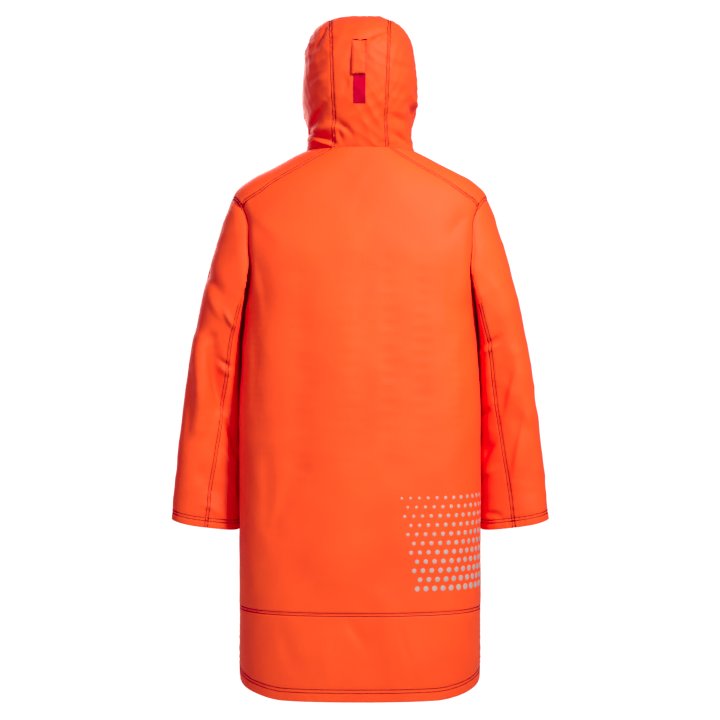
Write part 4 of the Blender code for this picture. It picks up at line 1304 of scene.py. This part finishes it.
def refinish(node, kind):
    """Gives a CAD node that keeps its shape a better material."""
    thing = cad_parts[node]
    for place in thing.material_slots:
        place.material = material(kind)


# ---- stage ----
def soft_light(name, watts, size, place, target):
    lamp = bpy.data.lights.new(name, "AREA")
    lamp.shape = "DISK"
    lamp.size = size
    lamp.energy = watts
    made = bpy.data.objects.new(name, lamp)
    made.location = place
    made.rotation_euler = direction(place, target)
    bpy.context.scene.collection.objects.link(made)
    return made


def direction(place, target):
    """Rotation that turns a light or camera, which looks down its -Z, to a target."""
    dx, dy, dz = (b - a for a, b in zip(place, target))
    return (math.atan2(math.hypot(dx, dy), -dz), 0.0, math.atan2(dx, -dy) + math.pi)


# ---- operators ----
class COAT_OT_back(bpy.types.Operator):
    """Sews the back panel and its hem band"""
    bl_idname = "coat.back"
    bl_label = "Back"

    def execute(self, context):
        back_panel()
        hem_band("hem_band_back", VENT_TOP, 180 - VENT_TOP, 2, "stitching_back")
        return {"FINISHED"}


class COAT_OT_fronts(bpy.types.Operator):
    """Sews both fronts and their hem bands"""
    bl_idname = "coat.fronts"
    bl_label = "Fronts"

    def execute(self, context):
        for side, mirror in (("left", False), ("right", True)):
            group = "stitching_front_" + side
            front_panel("front_" + side, mirror, group)
            hem_band("hem_band_front_" + side, -VENT_TOP, -90.0, 1, group, mirror)
        return {"FINISHED"}


class COAT_OT_sleeves(bpy.types.Operator):
    """Sews the outer and under piece of both sleeves"""
    bl_idname = "coat.sleeves"
    bl_label = "Sleeves"

    def execute(self, context):
        for side, mirror in (("left", False), ("right", True)):
            group = "stitching_sleeve_" + side
            sleeve_piece(f"sleeve_{side}_outer", False, mirror, group)
            sleeve_piece(f"sleeve_{side}_under", True, mirror, group)
        return {"FINISHED"}


class COAT_OT_hood(bpy.types.Operator):
    """Sews the hood's three panels, its tab and the strip of loop tape"""
    bl_idname = "coat.hood"
    bl_label = "Hood"

    def execute(self, context):
        hood_center()
        hood_side("hood_side_left", False)
        hood_side("hood_side_right", True)
        hood_patch("hood_tab", TAB_WIDTH, TAB_TOP, TAB_FOOT, tab_lift, TAB_WALL, "shell",
                   crown=0.4 * MM, rows=(2.2 * MM,))
        hood_patch("hood_tab_strip", STRIP_WIDTH, STRIP_TOP, STRIP_FOOT, strip_lift,
                   STRIP_WALL, "loop")
        bar_tack()
        return {"FINISHED"}


class COAT_OT_stitching(bpy.types.Operator):
    """Sews every row of topstitching that the pieces have marked"""
    bl_idname = "coat.stitching"
    bl_label = "Topstitching"

    def execute(self, context):
        if not STITCHES:
            raise RuntimeError("the cloth pieces come first")
        for group, rows in STITCHES.items():
            pitch, radius = settings().stitch_pitch, settings().thread
            if group == "stitching_tab":
                radius *= 0.9
            if group == "bar_tacks":
                pitch, radius = 1.1 * MM, radius * 1.7
            made = add_piece(group, *stitches(rows, pitch, radius), "thread")
        return {"FINISHED"}


class COAT_OT_print(bpy.types.Operator):
    """Presses the field of reflective dots on the lower back"""
    bl_idname = "coat.print"
    bl_label = "Reflective dots"

    def execute(self, context):
        dots()
        return {"FINISHED"}


class COAT_OT_zip(bpy.types.Operator):
    """Adds the zip's teeth and finishes its tapes, slider and pull"""
    bl_idname = "coat.zip"
    bl_label = "Zip"

    def execute(self, context):
        zip_teeth()
        for node in ("zip_tape_left", "zip_tape_right"):
            refinish(node, "tape")
        for node in ("zip_slider", "zip_pull"):
            refinish(node, "metal")
        return {"FINISHED"}


class COAT_OT_stage(bpy.types.Operator):
    """Sets up the floor, the white studio, the lights and the camera"""
    bl_idname = "coat.stage"
    bl_label = "Studio"

    def execute(self, context):
        scene, stage = context.scene, context.scene.coat_stage
        world = bpy.data.worlds.new("studio")
        world.use_nodes = True
        sky = world.node_tree.nodes["Background"]
        sky.inputs[0].default_value = (1, 1, 1, 1)
        sky.inputs[1].default_value = stage.ambient
        scene.world = world
        studio_walls()
        for name, setting, share, size, place in LIGHTS:
            lamp = soft_light(name, getattr(stage, setting) * share, size, place, LIGHT_AIM)
            if name == "key":
                lamp.data.spread = KEY_SPREAD
        camera = bpy.data.cameras.new("camera")
        camera.sensor_width = 36.0
        camera.lens = camera.sensor_width * stage.distance / stage.view_width
        eye = bpy.data.objects.new("camera", camera)
        eye.location = (0.0, stage.distance, stage.eye_height)
        eye.rotation_euler = (math.radians(90), 0.0, math.radians(180))
        scene.collection.objects.link(eye)
        scene.camera = eye
        view = scene.view_settings
        view.view_transform = "Standard"
        view.use_curve_mapping = True
        view.curve_mapping.black_level = BLACK_LEVEL
        view.curve_mapping.white_level = WHITE_LEVEL
        view.curve_mapping.update()
        return {"FINISHED"}


def studio_walls():
    """A pale floor disc, and a white dome round the scene that only the camera sees."""
    corners, rings = 64, 25
    turn = np.linspace(0, 2 * np.pi, corners, endpoint=False)
    circle = np.stack([np.cos(turn), np.sin(turn), np.zeros(corners)], -1)
    floor = bpy.data.meshes.new("floor")
    floor.from_pydata((circle * FLOOR_RADIUS + (0, 0, FLOOR_HEIGHT)).tolist(), [],
                      [list(range(corners))])
    floor.materials.append(new_material("matt_emulsion", base=linear("#D0F3EA"),
                                        roughness=0.9)[0])
    rise = np.linspace(-np.pi / 2, np.pi / 2, rings)[:, None, None]
    ball = DOME_RADIUS * (circle * np.cos(rise) + (0, 0, 1) * np.sin(rise))
    dome = bpy.data.meshes.new("dome")
    dome.from_pydata(ball.reshape(-1, 3).tolist(), [], ring_faces(rings, corners).tolist())
    glow = bpy.data.materials.new("lit_white_paper")
    glow.use_nodes = True
    tree = glow.node_tree
    tree.nodes.clear()
    light = add_node(tree, "ShaderNodeEmission", inputs={"Color": (1, 1, 1, 1), "Strength": 1.1})
    add_node(tree, "ShaderNodeOutputMaterial", {"Surface": light.outputs[0]})
    dome.materials.append(glow)
    for name, mesh in (("studio_floor", floor), ("studio_dome", dome)):
        made = bpy.data.objects.new(name, mesh)
        bpy.context.scene.collection.objects.link(made)
        if name == "studio_dome":
            made.visible_diffuse = made.visible_glossy = False
            made.visible_transmission = made.visible_shadow = False


class COAT_PT_panel(bpy.types.Panel):
    """Lists the coat's operators and settings"""
    bl_label = "Warm-up Coat"
    bl_idname = "COAT_PT_panel"
    bl_space_type = "VIEW_3D"
    bl_region_type = "UI"
    bl_category = "Coat"

    def draw(self, context):
        for operator in OPERATORS:
            self.layout.operator(operator.bl_idname)
        for group in (context.scene.coat, context.scene.coat_stage):
            for name in group.__annotations__:
                self.layout.prop(group, name)


OPERATORS = (COAT_OT_back, COAT_OT_fronts, COAT_OT_sleeves, COAT_OT_hood, COAT_OT_stitching,
             COAT_OT_print, COAT_OT_zip, COAT_OT_stage)
CLASSES = (CoatSettings, StageSettings, *OPERATORS, COAT_PT_panel)


def register():
    for item in CLASSES:
        bpy.utils.register_class(item)
    bpy.types.Scene.coat = bpy.props.PointerProperty(type=CoatSettings)
    bpy.types.Scene.coat_stage = bpy.props.PointerProperty(type=StageSettings)


def unregister():
    del bpy.types.Scene.coat_stage
    del bpy.types.Scene.coat
    for item in reversed(CLASSES):
        bpy.utils.unregister_class(item)


def main():
    register()
    bpy.ops.coat.back()
    bpy.ops.coat.fronts()
    bpy.ops.coat.sleeves()
    bpy.ops.coat.hood()
    bpy.ops.coat.stitching()
    bpy.ops.coat.print()
    bpy.ops.coat.zip()
    bpy.ops.coat.stage()


if __name__ == "__main__":
    main()
